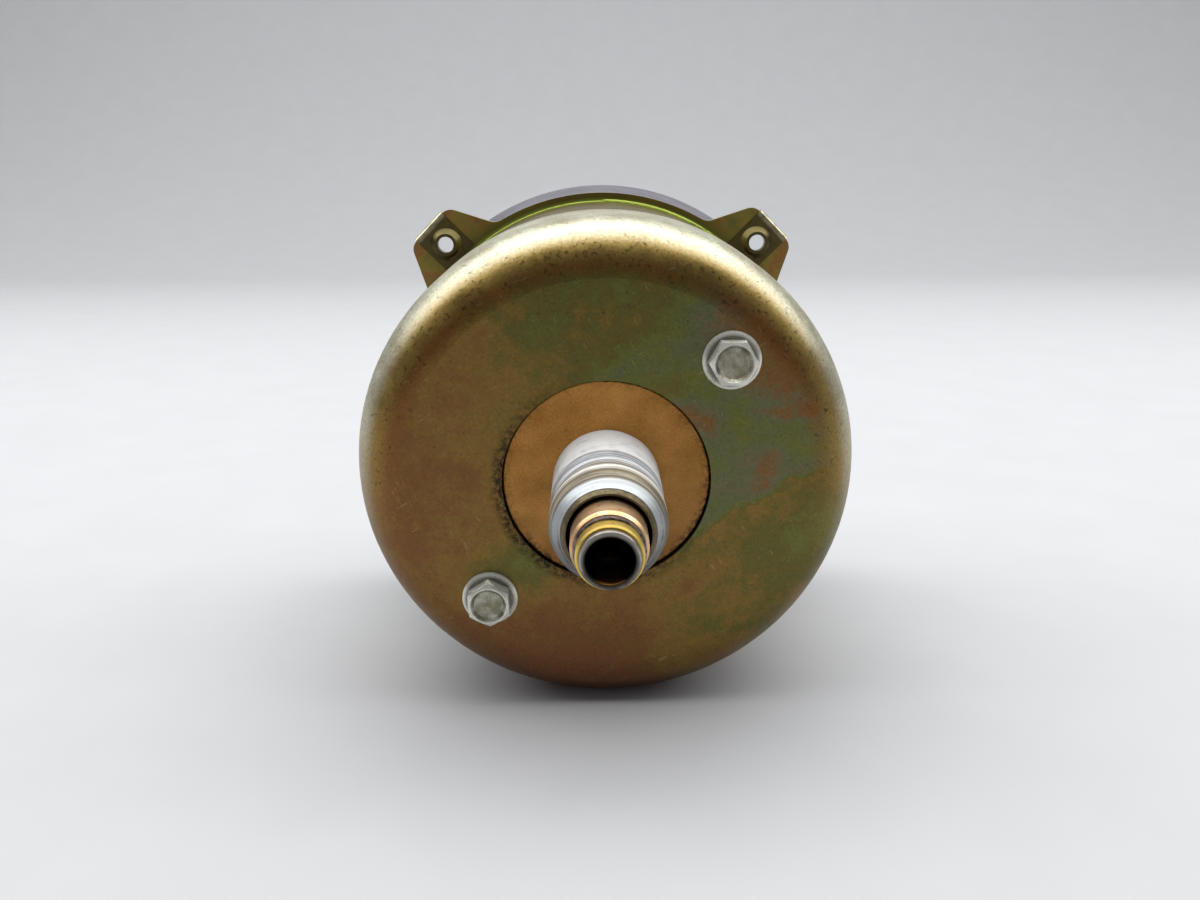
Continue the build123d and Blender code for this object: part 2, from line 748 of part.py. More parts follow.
with BuildPart() as plate_screws:
    with Locations(*[pilot_view(front_plate_front, x, z) for x, z in post_places]):
        Cone(plate_screw_radius, plate_screw_head, plate_screw_head - plate_screw_radius,
             align=(Align.CENTER, Align.CENTER, Align.MAX))
        Cylinder(plate_screw_radius, 7.0, align=(Align.CENTER, Align.CENTER, Align.MAX))
plate_screws.part.label = "plate_screws"
export_step(plate_screws.part, "parts/plate_screws.step")

with BuildPart() as staff_bush:
    with BuildSketch(across(front_plate_front)):
        Circle(staff_bush_radius - press_clearance)
        Circle(staff_radius + shaft_clearance, mode=Mode.SUBTRACT)
    extrude(amount=front_plate_front - front_plate_back + 0.4)
staff_bush.part.label = "staff_bush"
export_step(staff_bush.part, "parts/staff_bush.step")


# Pointer: a tapered hand with a counterweight, pressed on the staff under a domed cap. At rest it
# stands at zero, low on the pilot's left, against the stop pin
pointer_length = 29.0
pointer_sheet = 0.5
pointer_hub = 3.2
tail_length = 8.0
tail_radius = 2.4
zero_turn = 225
with BuildPart() as pointer:
    with BuildSketch(pilot_view(pointer_back)):
        with Locations(Location((0, 0), zero_turn)):
            Polygon((0, 1.6), (pointer_length, 0.35), (pointer_length, -0.35), (0, -1.6),
                    align=None)
            Polygon((0, 1.3), (-tail_length, 0.9), (-tail_length, -0.9), (0, -1.3), align=None)
            with Locations((-tail_length, 0)):
                Circle(tail_radius)
        Circle(pointer_hub)
        Circle(staff_radius, mode=Mode.SUBTRACT)
    extrude(amount=pointer_sheet)
pointer.part.label = "pointer"
export_step(pointer.part, "parts/pointer.step")

with BuildPart() as pointer_cap:
    with BuildSketch(pilot_view(pointer_back + pointer_sheet)):
        Circle(2.6)
    extrude(amount=1.2)
    fillet(pointer_cap.edges().group_by(Axis.Y)[-1], 0.8)
pointer_cap.part.label = "pointer_cap"
export_step(pointer_cap.part, "parts/pointer_cap.step")

stop_along = 24.0
with BuildPart() as stop_pin:
    with BuildSketch(pilot_view(dial_front)):
        with Locations(Location((0, 0), zero_turn)):
            with Locations((stop_along, 1.5)):
                Circle(0.5)
    extrude(amount=pointer_back + pointer_sheet + 0.4 - dial_front)
stop_pin.part.label = "stop_pin"
export_step(stop_pin.part, "parts/stop_pin.step")


# Cross shaft: vertical, turned by the spindle's worm and carrying the second worm
cross_top = top_lug_z + lug_thickness / 2 + 0.4
cross_foot = low_lug_z - lug_thickness / 2 - 0.4
worm_length = 5.2
shaft_worm_root = shaft_worm_pitch - worm_root_drop
shaft_shoulder = 1.6
with BuildPart() as cross_shaft:
    with BuildSketch(Plane.XY.offset(cross_foot)):
        with Locations((cross_x, cross_y)):
            Circle(shaft_radius)
    extrude(amount=cross_top - cross_foot)
    with BuildSketch(Plane.XY.offset(lay_z - worm_length / 2)):
        with Locations((cross_x, cross_y)):
            Circle(shaft_worm_root)
    extrude(amount=worm_length)
    with BuildSketch(Plane.XY.offset(low_lug_z + lug_thickness / 2 + 0.1)):
        with Locations((cross_x, cross_y)):
            Circle(shaft_shoulder)
    extrude(amount=1.0)
cross_shaft.part.label = "cross_shaft"
export_step(cross_shaft.part, "parts/cross_shaft.step")

wheel_root = wheel_pitch - 1.3 * module
wheel_tip = wheel_pitch + module
hub_radius = 2.2
hub_length = 1.4
with BuildPart() as cross_wheel:
    with BuildSketch(Plane.XY.offset(-wheel_width / 2)):
        with Locations((cross_x, cross_y)):
            Polygon(*wheel_outline(wheel_teeth, wheel_root, wheel_tip), align=None)
            Circle(shaft_radius, mode=Mode.SUBTRACT)
    extrude(amount=wheel_width)
    with BuildSketch(Plane.XY.offset(wheel_width / 2)):
        with Locations((cross_x, cross_y)):
            Circle(hub_radius)
            Circle(shaft_radius, mode=Mode.SUBTRACT)
    extrude(amount=hub_length)
cross_wheel.part.label = "cross_wheel"
export_step(cross_wheel.part, "parts/cross_wheel.step")


# Lay shaft: parallel to the spindle, turned by the second worm and carrying the third
end_play = 0.15
pivot_front = front_plate_back + 1.3
pivot_rear = plate_front - 1.8
with BuildPart() as lay_shaft:
    with BuildSketch(across(front_plate_back - end_play)):
        with Locations((lay_x, lay_z)):
            Circle(shaft_radius)
    extrude(amount=front_plate_back - plate_front - 2 * end_play)
    with BuildSketch(across(pivot_front)):
        with Locations((lay_x, lay_z)):
            Circle(lay_pivot_radius)
    extrude(amount=pivot_front - pivot_rear)
    with BuildSketch(across(drum_y + worm_length / 2)):
        with Locations((lay_x, lay_z)):
            Circle(shaft_worm_root)
    extrude(amount=worm_length)
lay_shaft.part.label = "lay_shaft"
export_step(lay_shaft.part, "parts/lay_shaft.step")

with BuildPart() as lay_wheel:
    with BuildSketch(across(cross_y + wheel_width / 2)):
        with Locations((lay_x, lay_z)):
            Polygon(*wheel_outline(wheel_teeth, wheel_root, wheel_tip), align=None)
            Circle(shaft_radius, mode=Mode.SUBTRACT)
    extrude(amount=wheel_width)
    with BuildSketch(across(cross_y + wheel_width / 2 + hub_length)):
        with Locations((lay_x, lay_z)):
            Circle(hub_radius)
            Circle(shaft_radius, mode=Mode.SUBTRACT)
    extrude(amount=hub_length)
lay_wheel.part.label = "lay_wheel"
export_step(lay_wheel.part, "parts/lay_wheel.step")


# Counter bracket: a folded strip with two cheeks that carry the drum axle and the pinion axle
bracket_left = -20.0
bracket_right = 14.6
bracket_sheet = 1.0
bracket_back = back + 35.2
bracket_foot = -27.0
bracket_top = -9.5
strip_length = bracket_right - bracket_left - bracket_sheet
strip_depth = front_plate_back - bracket_back - 1.4
with BuildPart() as counter_bracket:
    for cheek_x in (bracket_left, bracket_right - bracket_sheet):
        with BuildSketch(beside(cheek_x)):
            with BuildLine():
                FilletPolyline((front_plate_back, bracket_foot), (front_plate_back, bracket_top),
                               (drum_y - 4.5, bracket_top), (bracket_back, drum_z - 2.5),
                               (bracket_back, bracket_foot), close=True, radius=0.6)
            make_face()
            with Locations((drum_y, drum_z)):
                Circle(axle_radius, mode=Mode.SUBTRACT)
            with Locations((pinion_y, pinion_z)):
                Circle(pinion_axle_radius, mode=Mode.SUBTRACT)
        extrude(amount=bracket_sheet)
    with BuildSketch(Plane.XY.offset(bracket_foot)):
        with Locations(((bracket_left + bracket_right) / 2, (bracket_back + front_plate_back) / 2)):
            Rectangle(strip_length, strip_depth)
    extrude(amount=bracket_sheet)
counter_bracket.part.label = "counter_bracket"
export_step(counter_bracket.part, "parts/counter_bracket.step")

rivet_head = 0.7
with BuildPart() as counter_axle:
    with BuildSketch(beside(bracket_left)):
        with Locations((drum_y, drum_z)):
            Circle(axle_radius)
    extrude(amount=bracket_right - bracket_left)
    with BuildSketch(beside(bracket_left)):
        with Locations((drum_y, drum_z)):
            Circle(axle_radius + rivet_head)
    extrude(amount=-rivet_head)
    with BuildSketch(beside(bracket_right)):
        with Locations((drum_y, drum_z)):
            Circle(axle_radius + rivet_head)
    extrude(amount=rivet_head)
counter_axle.part.label = "counter_axle"
export_step(counter_axle.part, "parts/counter_axle.step")

with BuildPart() as pinion_axle:
    with BuildSketch(beside(bracket_left - 0.4)):
        with Locations((pinion_y, pinion_z)):
            Circle(pinion_axle_radius)
    extrude(amount=bracket_right - bracket_left + 0.8)
pinion_axle.part.label = "pinion_axle"
export_step(pinion_axle.part, "parts/pinion_axle.step")


# Counter wheel: the last worm wheel, pinned beside the tenths drum through its hub
counter_root = counter_pitch - 1.3 * module
counter_tip = counter_pitch + module
first_drum_side = first_drum_x - drum_rim / 2 - drum_gear_width
counter_hub_radius = 3.0
with BuildPart() as counter_wheel:
    with BuildSketch(beside(lay_x - wheel_width / 2)):
        with Locations((drum_y, drum_z)):
            Polygon(*wheel_outline(counter_teeth, counter_root, counter_tip), align=None)
            Circle(axle_radius + shaft_clearance, mode=Mode.SUBTRACT)
    extrude(amount=wheel_width)
    with BuildSketch(beside(lay_x + wheel_width / 2)):
        with Locations((drum_y, drum_z)):
            Circle(counter_hub_radius)
            Circle(axle_radius + shaft_clearance, mode=Mode.SUBTRACT)
    extrude(amount=first_drum_side - lay_x - wheel_width / 2)
counter_wheel.part.label = "counter_wheel"
export_step(counter_wheel.part, "parts/counter_wheel.step")


# Number drums: a printed rim between a gear of twenty teeth and a lock disc with one carry notch
gear_step = 360 / drum_gear_teeth
gear_outline = wheel_outline(drum_gear_teeth, drum_gear_root, drum_gear_tip, 0.4, 0.24)
pinion_side = 225
recess_radius = 5.2
drum_hub_radius = 2.4
recess_depth = 2.2
notch_width = 1.3
for number in range(1, drum_count + 1):
    middle = first_drum_x + (number - 1) * drum_pitch
    with BuildPart() as drum:
        with BuildSketch(beside(middle - drum_rim / 2)):
            with Locations((drum_y, drum_z)):
                Circle(drum_radius)
        extrude(amount=drum_rim)
        with BuildSketch(beside(middle - drum_rim / 2)):
            with Locations(Location((drum_y, drum_z), pinion_side + gear_step / 2)):
                Polygon(*gear_outline, align=None)
        extrude(amount=-drum_gear_width)
        with BuildSketch(beside(middle + drum_rim / 2)):
            with Locations((drum_y, drum_z)):
                Circle(lock_disc_radius)
            with Locations(Location((drum_y, drum_z), pinion_side + 180)):
                with Locations((lock_disc_radius, 0)):
                    Rectangle(2.0, notch_width, mode=Mode.SUBTRACT)
        extrude(amount=lock_disc_width)
        with BuildSketch(beside(middle + drum_rim / 2 + lock_disc_width)):
            with Locations((drum_y, drum_z)):
                Circle(recess_radius)
                Circle(drum_hub_radius, mode=Mode.SUBTRACT)
        extrude(amount=-recess_depth, mode=Mode.SUBTRACT)
        with BuildSketch(beside(middle - drum_rim)):
            with Locations((drum_y, drum_z)):
                Circle(axle_radius + shaft_clearance)
        extrude(amount=2 * drum_rim, mode=Mode.SUBTRACT)
    drum.part.label = f"drum_{number}"
    export_step(drum.part, f"parts/drum_{number}.step")


# Transfer pinions: eight teeth towards the next drum's gear, every second one cut away at the lock disc
pinion_width = 1.42
pinion_play = 0.09
eight_teeth = wheel_outline(8, pinion_root, pinion_tip, 0.52, 0.28)
four_teeth = wheel_outline(4, pinion_root, pinion_tip, 0.26, 0.14)
for number in range(1, drum_count):
    start = first_drum_x + (number - 1) * drum_pitch + drum_rim / 2 + pinion_play
    with BuildPart() as transfer_pinion:
        with BuildSketch(beside(start + lock_disc_width)):
            with Locations(Location((pinion_y, pinion_z), 45)):
                Polygon(*eight_teeth, align=None)
        extrude(amount=pinion_width - lock_disc_width)
        with BuildSketch(beside(start)):
            with Locations(Location((pinion_y, pinion_z), 90)):
                Polygon(*four_teeth, align=None)
        extrude(amount=lock_disc_width)
        with BuildSketch(beside(start)):
            with Locations((pinion_y, pinion_z)):
                Circle(pinion_axle_radius + shaft_clearance)
        extrude(amount=pinion_width, mode=Mode.SUBTRACT)
    transfer_pinion.part.label = f"transfer_pinion_{number}"
    export_step(transfer_pinion.part, f"parts/transfer_pinion_{number}.step")
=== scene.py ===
# %% [markdown]
# A recording tachometer, seen from behind as it lies on its side. The shapes come from the packed
# CAD frame, which is loaded first and never moved. This lesson gives every part its finish, adds
# what is printed or cut finer than the CAD shows, and then sets the camera and the light. Lengths
# are written in millimetres, and multiplied by mm where metres are needed.

from math import cos, pi, radians, sin

import bmesh
import bpy
import numpy as np
from mathutils import Matrix, Vector


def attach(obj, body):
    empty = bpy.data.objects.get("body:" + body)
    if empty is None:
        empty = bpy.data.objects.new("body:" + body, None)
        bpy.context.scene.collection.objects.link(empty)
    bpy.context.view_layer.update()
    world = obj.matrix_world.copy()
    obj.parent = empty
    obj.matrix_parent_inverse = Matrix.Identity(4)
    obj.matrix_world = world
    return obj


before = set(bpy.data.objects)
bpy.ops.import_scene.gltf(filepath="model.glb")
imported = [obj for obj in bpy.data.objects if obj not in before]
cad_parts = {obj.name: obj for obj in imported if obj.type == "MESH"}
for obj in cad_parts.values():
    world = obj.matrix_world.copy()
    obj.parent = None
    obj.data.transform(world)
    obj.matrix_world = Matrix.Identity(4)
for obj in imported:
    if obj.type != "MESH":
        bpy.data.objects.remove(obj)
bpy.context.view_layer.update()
mm = 0.001

# %% [markdown]
# The camera stands where the photographer stood: twenty centimetres behind the flange and five
# above the drive axis, looking down at the back of the case. Its place, tilt and focal length
# come from fitting the outline of the case, the stem and the ear holes, so the numbers are a
# measured view and not a guess. The matrix is built from the three angles, because a camera has
# to look along its own -Z.

# %% Place the camera
pitch_down, yaw_right, roll = 0.308, 0.008, -0.006
eye_mm = (-2.145, -203.307, 51.598)
focal_pixels, frame_pixels, sensor_mm = 977.44, 1200, 36

ahead = Vector((sin(yaw_right) * cos(pitch_down), cos(yaw_right) * cos(pitch_down),
                -sin(pitch_down)))
level_right = Vector((cos(yaw_right), -sin(yaw_right), 0))
level_up = level_right.cross(ahead)
right = cos(roll) * level_right + sin(roll) * level_up
up = cos(roll) * level_up - sin(roll) * level_right
camera_data = bpy.data.cameras.new("camera")
camera_data.sensor_width = sensor_mm
camera_data.lens = focal_pixels / frame_pixels * sensor_mm
camera_data.clip_start = 0.01
camera = bpy.data.objects.new("camera", camera_data)
camera.matrix_world = Matrix((
    (right.x, up.x, -ahead.x, eye_mm[0] * mm),
    (right.y, up.y, -ahead.y, eye_mm[1] * mm),
    (right.z, up.z, -ahead.z, eye_mm[2] * mm),
    (0, 0, 0, 1),
))
bpy.context.scene.collection.objects.link(camera)
bpy.context.scene.camera = camera
print("focal length in mm:", round(camera_data.lens, 2))

# %% [markdown]
# Colours are written as people read them on a screen, in sRGB hex, and a renderer works in linear
# light, so one function turns the first into the second. One more function adds a shader node
# with its settings and its links in a single line. A pattern's scale is given by the size of its
# features: a feature of one millimetre repeats a thousand times in the metre that Object
# coordinates count in.

# %% Add a node, write a colour
def linear(hex_text):
    """Linear RGBA of an sRGB hex colour: each channel through the sRGB curve, with alpha one."""
    channels = [int(hex_text[place:place + 2], 16) / 255 for place in (1, 3, 5)]
    light = [c / 12.92 if c <= 0.04045 else ((c + 0.055) / 1.055) ** 2.4 for c in channels]
    return tuple(light) + (1.0,)


def add(tree, kind, inputs=None, stops=None, **settings):
    """Adds one shader node. Settings are its properties, inputs maps a socket to a value or to
    another node's output, and stops are the places and hex colours of a colour ramp."""
    node = tree.nodes.new("ShaderNode" + kind)
    for name, value in settings.items():
        setattr(node, name, value)
    for key, value in (inputs or {}).items():
        if isinstance(value, bpy.types.NodeSocket):
            tree.links.new(value, node.inputs[key])
        else:
            node.inputs[key].default_value = value
    for number, (place, colour) in enumerate(stops or []):
        ramp = node.color_ramp
        stop = ramp.elements[number] if number < 2 else ramp.elements.new(place)
        stop.position = place
        stop.color = linear(colour)
    return node


def feature(size_mm):
    """Noise scale, per metre, at which one feature is size_mm wide."""
    return 1 / (size_mm * mm)


def new_finish(name, **uniform):
    """A material with an empty tree but for its shader, whose uniform sockets are set directly."""
    material = bpy.data.materials.new(name)
    material.use_nodes = True
    shader = material.node_tree.nodes["Principled BSDF"]
    for socket, value in uniform.items():
        shader.inputs[socket.replace("_", " ")].default_value = value
    return material, material.node_tree, shader


def link(tree, shader, **outputs):
    """Feeds the shader's sockets; in a socket's name an underscore stands for the blank."""
    for socket, output in outputs.items():
        tree.links.new(output, shader.inputs[socket.replace("_", " ")])


print("one fine grain of 0.3 mm is a scale of", round(feature(0.3)))

# %% [markdown]
# Every finish below asks the same few questions: where is this point, how far is it from the
# drive axis, how dirty is it here, and which of two colours does that make it? Each question is
# one short function over the one that adds a node, so a finish reads as a list of what has
# happened to the part.

# %% Where a point is, and what that makes of it
def object_place(tree):
    """The point on the piece, in metres, which stays with the piece when it turns."""
    return add(tree, "TexCoord").outputs["Object"]


def coordinate(tree, place, axis):
    """One of the point's three coordinates."""
    return add(tree, "SeparateXYZ", {0: place}).outputs[axis]


def scaled(tree, place, factors):
    """The place with each coordinate multiplied; a small factor stretches a pattern that way."""
    return add(tree, "VectorMath", {0: place, 1: factors}, operation="MULTIPLY").outputs[0]


def axis_distance(tree, place):
    """Distance from the drive axis, which is Y: the root of x squared plus z squared."""
    flat = scaled(tree, place, (1, 0, 1))
    return add(tree, "VectorMath", {0: flat}, operation="LENGTH").outputs["Value"]


def towards(tree, place, direction):
    """How far the point lies in a direction: the dot product of the two."""
    dot = add(tree, "VectorMath", {0: place, 1: direction}, operation="DOT_PRODUCT")
    return dot.outputs["Value"]


def noise(tree, place, size_mm, detail=2.0, rough=0.5):
    """A cloudy number about one half, with features size_mm wide."""
    return add(tree, "TexNoise", {"Vector": place, "Scale": feature(size_mm), "Detail": detail,
                                  "Roughness": rough}).outputs["Fac"]


def between(tree, value, low, high, to_low=0.0, to_high=1.0, smooth=False):
    """Runs from to_low to to_high while the value runs from low to high, and stays there beyond."""
    return add(tree, "MapRange", {"Value": value, "From Min": low, "From Max": high,
                                  "To Min": to_low, "To Max": to_high},
               interpolation_type="SMOOTHSTEP" if smooth else "LINEAR").outputs[0]


def between_mm(tree, length, low, high, to_low=0.0, to_high=1.0, smooth=False):
    """The same for a length, with low and high in millimetres."""
    return between(tree, length, low * mm, high * mm, to_low, to_high, smooth)


def times(tree, *factors):
    """The product of numbers; for masks that is where all of them hold."""
    product = factors[0]
    for factor in factors[1:]:
        product = add(tree, "Math", {0: product, 1: factor}, operation="MULTIPLY").outputs[0]
    return product


def plus(tree, first, second, clamp=False):
    """The sum of two numbers, held between nought and one if clamp is true."""
    return add(tree, "Math", {0: first, 1: second}, operation="ADD", use_clamp=clamp).outputs[0]


def blend(tree, share, first, second):
    """A number on the way from first to second."""
    mixer = add(tree, "Mix", {"Factor": share, "A": first, "B": second}, data_type="FLOAT")
    return mixer.outputs["Result"]


def mix(tree, share, first, second):
    """A colour on the way from first to second, each a hex text or a node's output."""
    first, second = (linear(c) if isinstance(c, str) else c for c in (first, second))
    mixer = add(tree, "Mix", {"Factor": share, "A": first, "B": second}, data_type="RGBA")
    return mixer.outputs["Result"]


def colours(tree, value, stops, interpolation="LINEAR"):
    """The colour that a number between nought and one picks from a row of stops."""
    ramp = add(tree, "ValToRGB", {"Fac": value}, stops=stops)
    ramp.color_ramp.interpolation = interpolation
    return ramp.outputs["Color"]


def bumped(tree, height, depth_mm, strength):
    """A normal tilted as if the height were a relief depth_mm deep."""
    return add(tree, "Bump", {"Height": height, "Distance": depth_mm * mm,
                              "Strength": strength}).outputs[0]


case_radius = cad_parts["rear_case"].dimensions.x / 2 / mm
print("the case ends", round(case_radius, 1), "mm from the drive axis")

# %% [markdown]
# Most metal parts share one story: a base colour with a duller second one in cloudy patches, a
# direction of machining that stretches the grain, a few stains, and a roughness that changes with
# them. Turned parts have their grain in rings about the axis, so the noise only sees the distance
# along that axis; a casting or a stamping has the same grain in every direction. The rings of
# real turning are a tenth of a millimetre apart, and are drawn at a quarter, the finest that
# shows.

# %% Machined, cast and drawn metals
def worked_metal(name, bright, dull, stain, rough, grain_mm=0.4, along=(1, 1, 1), cloud_mm=6.0,
                 stain_share=0.42, bump_mm=0.004, metallic=1.0):
    """Metal whose colour runs between bright and dull with a cloudy noise, darkened by stains,
    and whose grain, stretched by the three numbers of along, gives the bump and the gloss."""
    material, tree, shader = new_finish(name, Metallic=metallic)
    place = object_place(tree)
    grain = noise(tree, scaled(tree, place, along), grain_mm, 3.0)
    wear = plus(tree, grain, noise(tree, place, cloud_mm, 4.0))
    spots = noise(tree, place, cloud_mm / 3, 6.0, 0.7)
    base = mix(tree, between(tree, wear, 0.75, 1.25), bright, dull)
    stained = between(tree, spots, 1 - stain_share, 1.12 - stain_share)
    link(tree, shader, Base_Color=mix(tree, stained, base, stain),
         Roughness=between(tree, wear, 0.7, 1.3, rough - 0.08, rough + 0.12),
         Normal=bumped(tree, grain, bump_mm, 0.6))
    return material


turned = (0, 1, 0)
metals = {
    "turned_brass": dict(bright="#d9b45c", dull="#b08a3c", stain="#6e5426", rough=0.3,
                         grain_mm=0.25, along=turned),
    "collar_brass": dict(bright="#f6dc80", dull="#dcb852", stain="#94722e", rough=0.4,
                         grain_mm=0.3, along=turned, cloud_mm=3.0),
    "bearing_bronze": dict(bright="#f2d0a6", dull="#d0a070", stain="#7a5230", rough=0.36,
                           grain_mm=0.22, along=turned, cloud_mm=3.0),
    "tarnished_liner": dict(bright="#6e6448", dull="#4e4430", stain="#241c10", rough=0.42,
                            grain_mm=0.25, cloud_mm=2.5, metallic=0.8),
    "satin_brass_sheet": dict(bright="#cdb172", dull="#a98c4e", stain="#7b6430", rough=0.4,
                              grain_mm=0.3, along=(1, 0.1, 1)),
    "bright_shaft_steel": dict(bright="#c9cacc", dull="#a3a5a8", stain="#6b6964", rough=0.25),
    "nickelled_iron": dict(bright="#b6b2a8", dull="#8f8b82", stain="#625d52", rough=0.32,
                           grain_mm=0.3, along=turned),
    "spun_aluminium": dict(bright="#d4d5d8", dull="#b2b4b8", stain="#8c8d90", rough=0.3,
                           grain_mm=0.3, along=turned),
    "sintered_magnet": dict(bright="#5e5d5c", dull="#474645", stain="#2c2b2a", rough=0.5,
                            grain_mm=0.3),
    "blued_spring": dict(bright="#9c96a4", dull="#34303a", stain="#1a1618", rough=0.34,
                         grain_mm=0.5, cloud_mm=1.2),
    "spring_wire": dict(bright="#5a5a60", dull="#3c3c42", stain="#26252a", rough=0.45),
    "zinc_plated_screw": dict(bright="#e8e8de", dull="#cccabc", stain="#8c866e", rough=0.28,
                              grain_mm=0.3, cloud_mm=3.0, stain_share=0.34, metallic=0.65),
    "satin_bezel": dict(bright="#d2d0d8", dull="#b2b0b8", stain="#85838c", rough=0.4,
                        grain_mm=0.3, along=(0.05, 1, 0.05), cloud_mm=8.0, stain_share=0.36,
                        metallic=0.6),
    "chromated_casting": dict(bright="#c48c44", dull="#a8742e", stain="#6e4a22", rough=0.42,
                              grain_mm=0.35, cloud_mm=4.0, stain_share=0.38, bump_mm=0.015,
                              metallic=0.65),
}
finishes = {name: worked_metal(name, **look) for name, look in metals.items()}
print("metals:", len(finishes))

# %% [markdown]
# Old dirt has stayed in the shallow dish on each case screw's head, and a ring of painted shade
# darkens each washer where the hexagon meets it. The two screws stand opposite each other, so with
# both coordinates made positive one distance, from one screw's axis, serves for both.

# %% Dirt and painted shade on the screw heads
def reopened(material):
    """A finish made above, taken up again: its tree, its shader and what feeds its base colour."""
    tree = material.node_tree
    shader = tree.nodes["Principled BSDF"]
    return tree, shader, shader.inputs["Base Color"].links[0].from_socket


screw_x, screw_z, washer_y = 19.06, 19.62, -59.0
tree, shader, clean = reopened(finishes["zinc_plated_screw"])
place = object_place(tree)
mirrored = add(tree, "VectorMath", {0: place}, operation="ABSOLUTE").outputs[0]
from_screw = add(tree, "VectorMath", {0: scaled(tree, mirrored, (1, 0, 1)),
                                      1: (screw_x * mm, 0, screw_z * mm)},
                 operation="DISTANCE").outputs["Value"]
in_dish = between_mm(tree, from_screw, 3.0, 2.7)
dirt = between(tree, noise(tree, place, 1.5, 6.0), 0.3, 0.6, 0.5, 0.95)
dirty_dish = mix(tree, times(tree, in_dish, dirt), clean, "#7a745c")
# Painted shade: each washer is darkest right next to the hexagon.
on_washer = between_mm(tree, coordinate(tree, place, "Y"), washer_y - 0.35, washer_y - 0.05)
by_hexagon = between_mm(tree, from_screw, 4.25, 3.75, 0.0, 0.85)
dirt_and_corner_shade = mix(tree, times(tree, on_washer, by_hexagon), dirty_dish, "#5a5648")
link(tree, shader, Base_Color=dirt_and_corner_shade)
screw_reach = (screw_x ** 2 + screw_z ** 2) ** 0.5
print("the screws' axes are", round(screw_reach, 2), "mm from the drive axis")

# %% [markdown]
# The case is drawn steel, zinc plated and dipped in yellow chromate. The chromate film is thinner
# than a wave of light is long, so where it varies in thickness it changes colour as oil on water
# does. Here it runs from brown through grey, green and olive to gold and red-brown. The film
# could be a picture, but a picture can't be used here and wouldn't turn the corner of the case.
# So one field of numbers stands for the film's thickness over the back of the case, made of a few
# soft patches, and one colour ramp turns thickness into colour.

# %% A chromate film on zinc
film_stops = [
    (0.00, "#72582c"), (0.08, "#7e5630"), (0.14, "#785c38"), (0.22, "#68684e"), (0.32, "#60683c"),
    (0.42, "#6e6c30"), (0.52, "#58582c"), (0.62, "#7e662c"), (0.72, "#866632"), (0.85, "#78522c"),
    (1.00, "#7e4e32"),
]


def film_patches(tree, place, patches, start):
    """Film thickness as one number: it starts at start, and each patch pulls it towards its own
    value with a weight that falls smoothly from one at the patch's centre to nought at its edge.
    A patch is (x, z, half width, half height, turn in degrees, value), in millimetres on the back
    of the case."""
    thickness = start
    for x, z, half_width, half_height, turn, value in patches:
        centred = add(tree, "Mapping", {"Vector": place, "Location": (x * mm, 0, z * mm),
                                        "Rotation": (0, radians(-turn), 0),
                                        "Scale": (half_width * mm, 1e6, half_height * mm)},
                      vector_type="TEXTURE")
        ball = add(tree, "TexGradient", {"Vector": centred.outputs[0]}, gradient_type="SPHERICAL")
        weight = between(tree, ball.outputs["Fac"], 0.0, 0.9, smooth=True)
        thickness = blend(tree, weight, thickness, value)
    return thickness


print("film colours:", len(film_stops))

# %% [markdown]
# The dip ran off the hanging case in a tongue, so the film has one sharp edge: a straight line
# from beside the boss to the right rim. Above it the film is thin and runs through blue-grey and
# green; below it the film is thicker, gold at the right and red-brown at the bottom. The patches'
# places are pushed about by a noise, so that none shows its round form, and two finer noises
# mottle the whole.

# %% The case's film
drift_mm = 16
case_material, tree, shader = new_finish("yellow_chromate_case", Metallic=0.82)
place = object_place(tree)
drift = add(tree, "TexNoise", {"Vector": place, "Scale": feature(drift_mm), "Detail": 9.0,
                               "Roughness": 0.68})
centred = add(tree, "VectorMath", {0: drift.outputs["Color"], 1: (0.5, 0.5, 0.5)},
              operation="SUBTRACT")
push = add(tree, "VectorMath", {0: centred.outputs[0], "Scale": drift_mm * mm}, operation="SCALE")
wandering = add(tree, "VectorMath", {0: place, 1: push.outputs[0]}, operation="ADD").outputs[0]
film_below = film_patches(tree, wandering, [
    (0, 34, 56, 34, 0, 0.50),
    (-36, 0, 30, 56, -8, 0.84),
    (-14, -16, 13, 8, 20, 0.46),
    (-4, -38, 56, 28, 0, 0.97),
    (25, 33, 18, 12, -40, 0.78),
    (24, -20, 30, 20, 30, 0.60),
    (33, -9, 16, 11, 40, 0.45),
    (14, -17, 10, 4, 30, 0.80),
    (-22, 14, 16, 12, 45, 0.70),
], 0.66)
film_above = film_patches(tree, wandering, [
    (25, 20, 22, 15, -25, 0.02),
    (20, 5, 26, 17, 10, 0.38),
    (8, 19, 18, 6, 14, 0.28),
    (27, 0, 18, 11, 30, 0.20),
    (33, 5, 9, 9, 0, 0.34),
    (16, -5, 12, 8, 30, 0.27),
    (30, 13, 12, 3, 10, 0.09),
    (15, 9, 9, 6, 20, 0.10),
], film_below)
across_x, across_z = -0.512, 0.859
line_x, line_z = 11.8, -11.8
line_at = across_x * line_x + across_z * line_z
line_side = towards(tree, wandering, (across_x, 0, across_z))
above_line = between_mm(tree, line_side, line_at - 0.8, line_at + 1.2, smooth=True)
film = blend(tree, above_line, film_below, film_above)
for size_mm, swing in ((8.0, 0.26), (2.2, 0.22)):
    mottle = noise(tree, place, size_mm, 6.0, 0.65)
    film = plus(tree, film, between(tree, mottle, 0.0, 1.0, -swing, swing))
film_colour = colours(tree, film, film_stops, "B_SPLINE")
print("the film's edge passes", round(abs(line_at), 2), "mm from the drive axis")
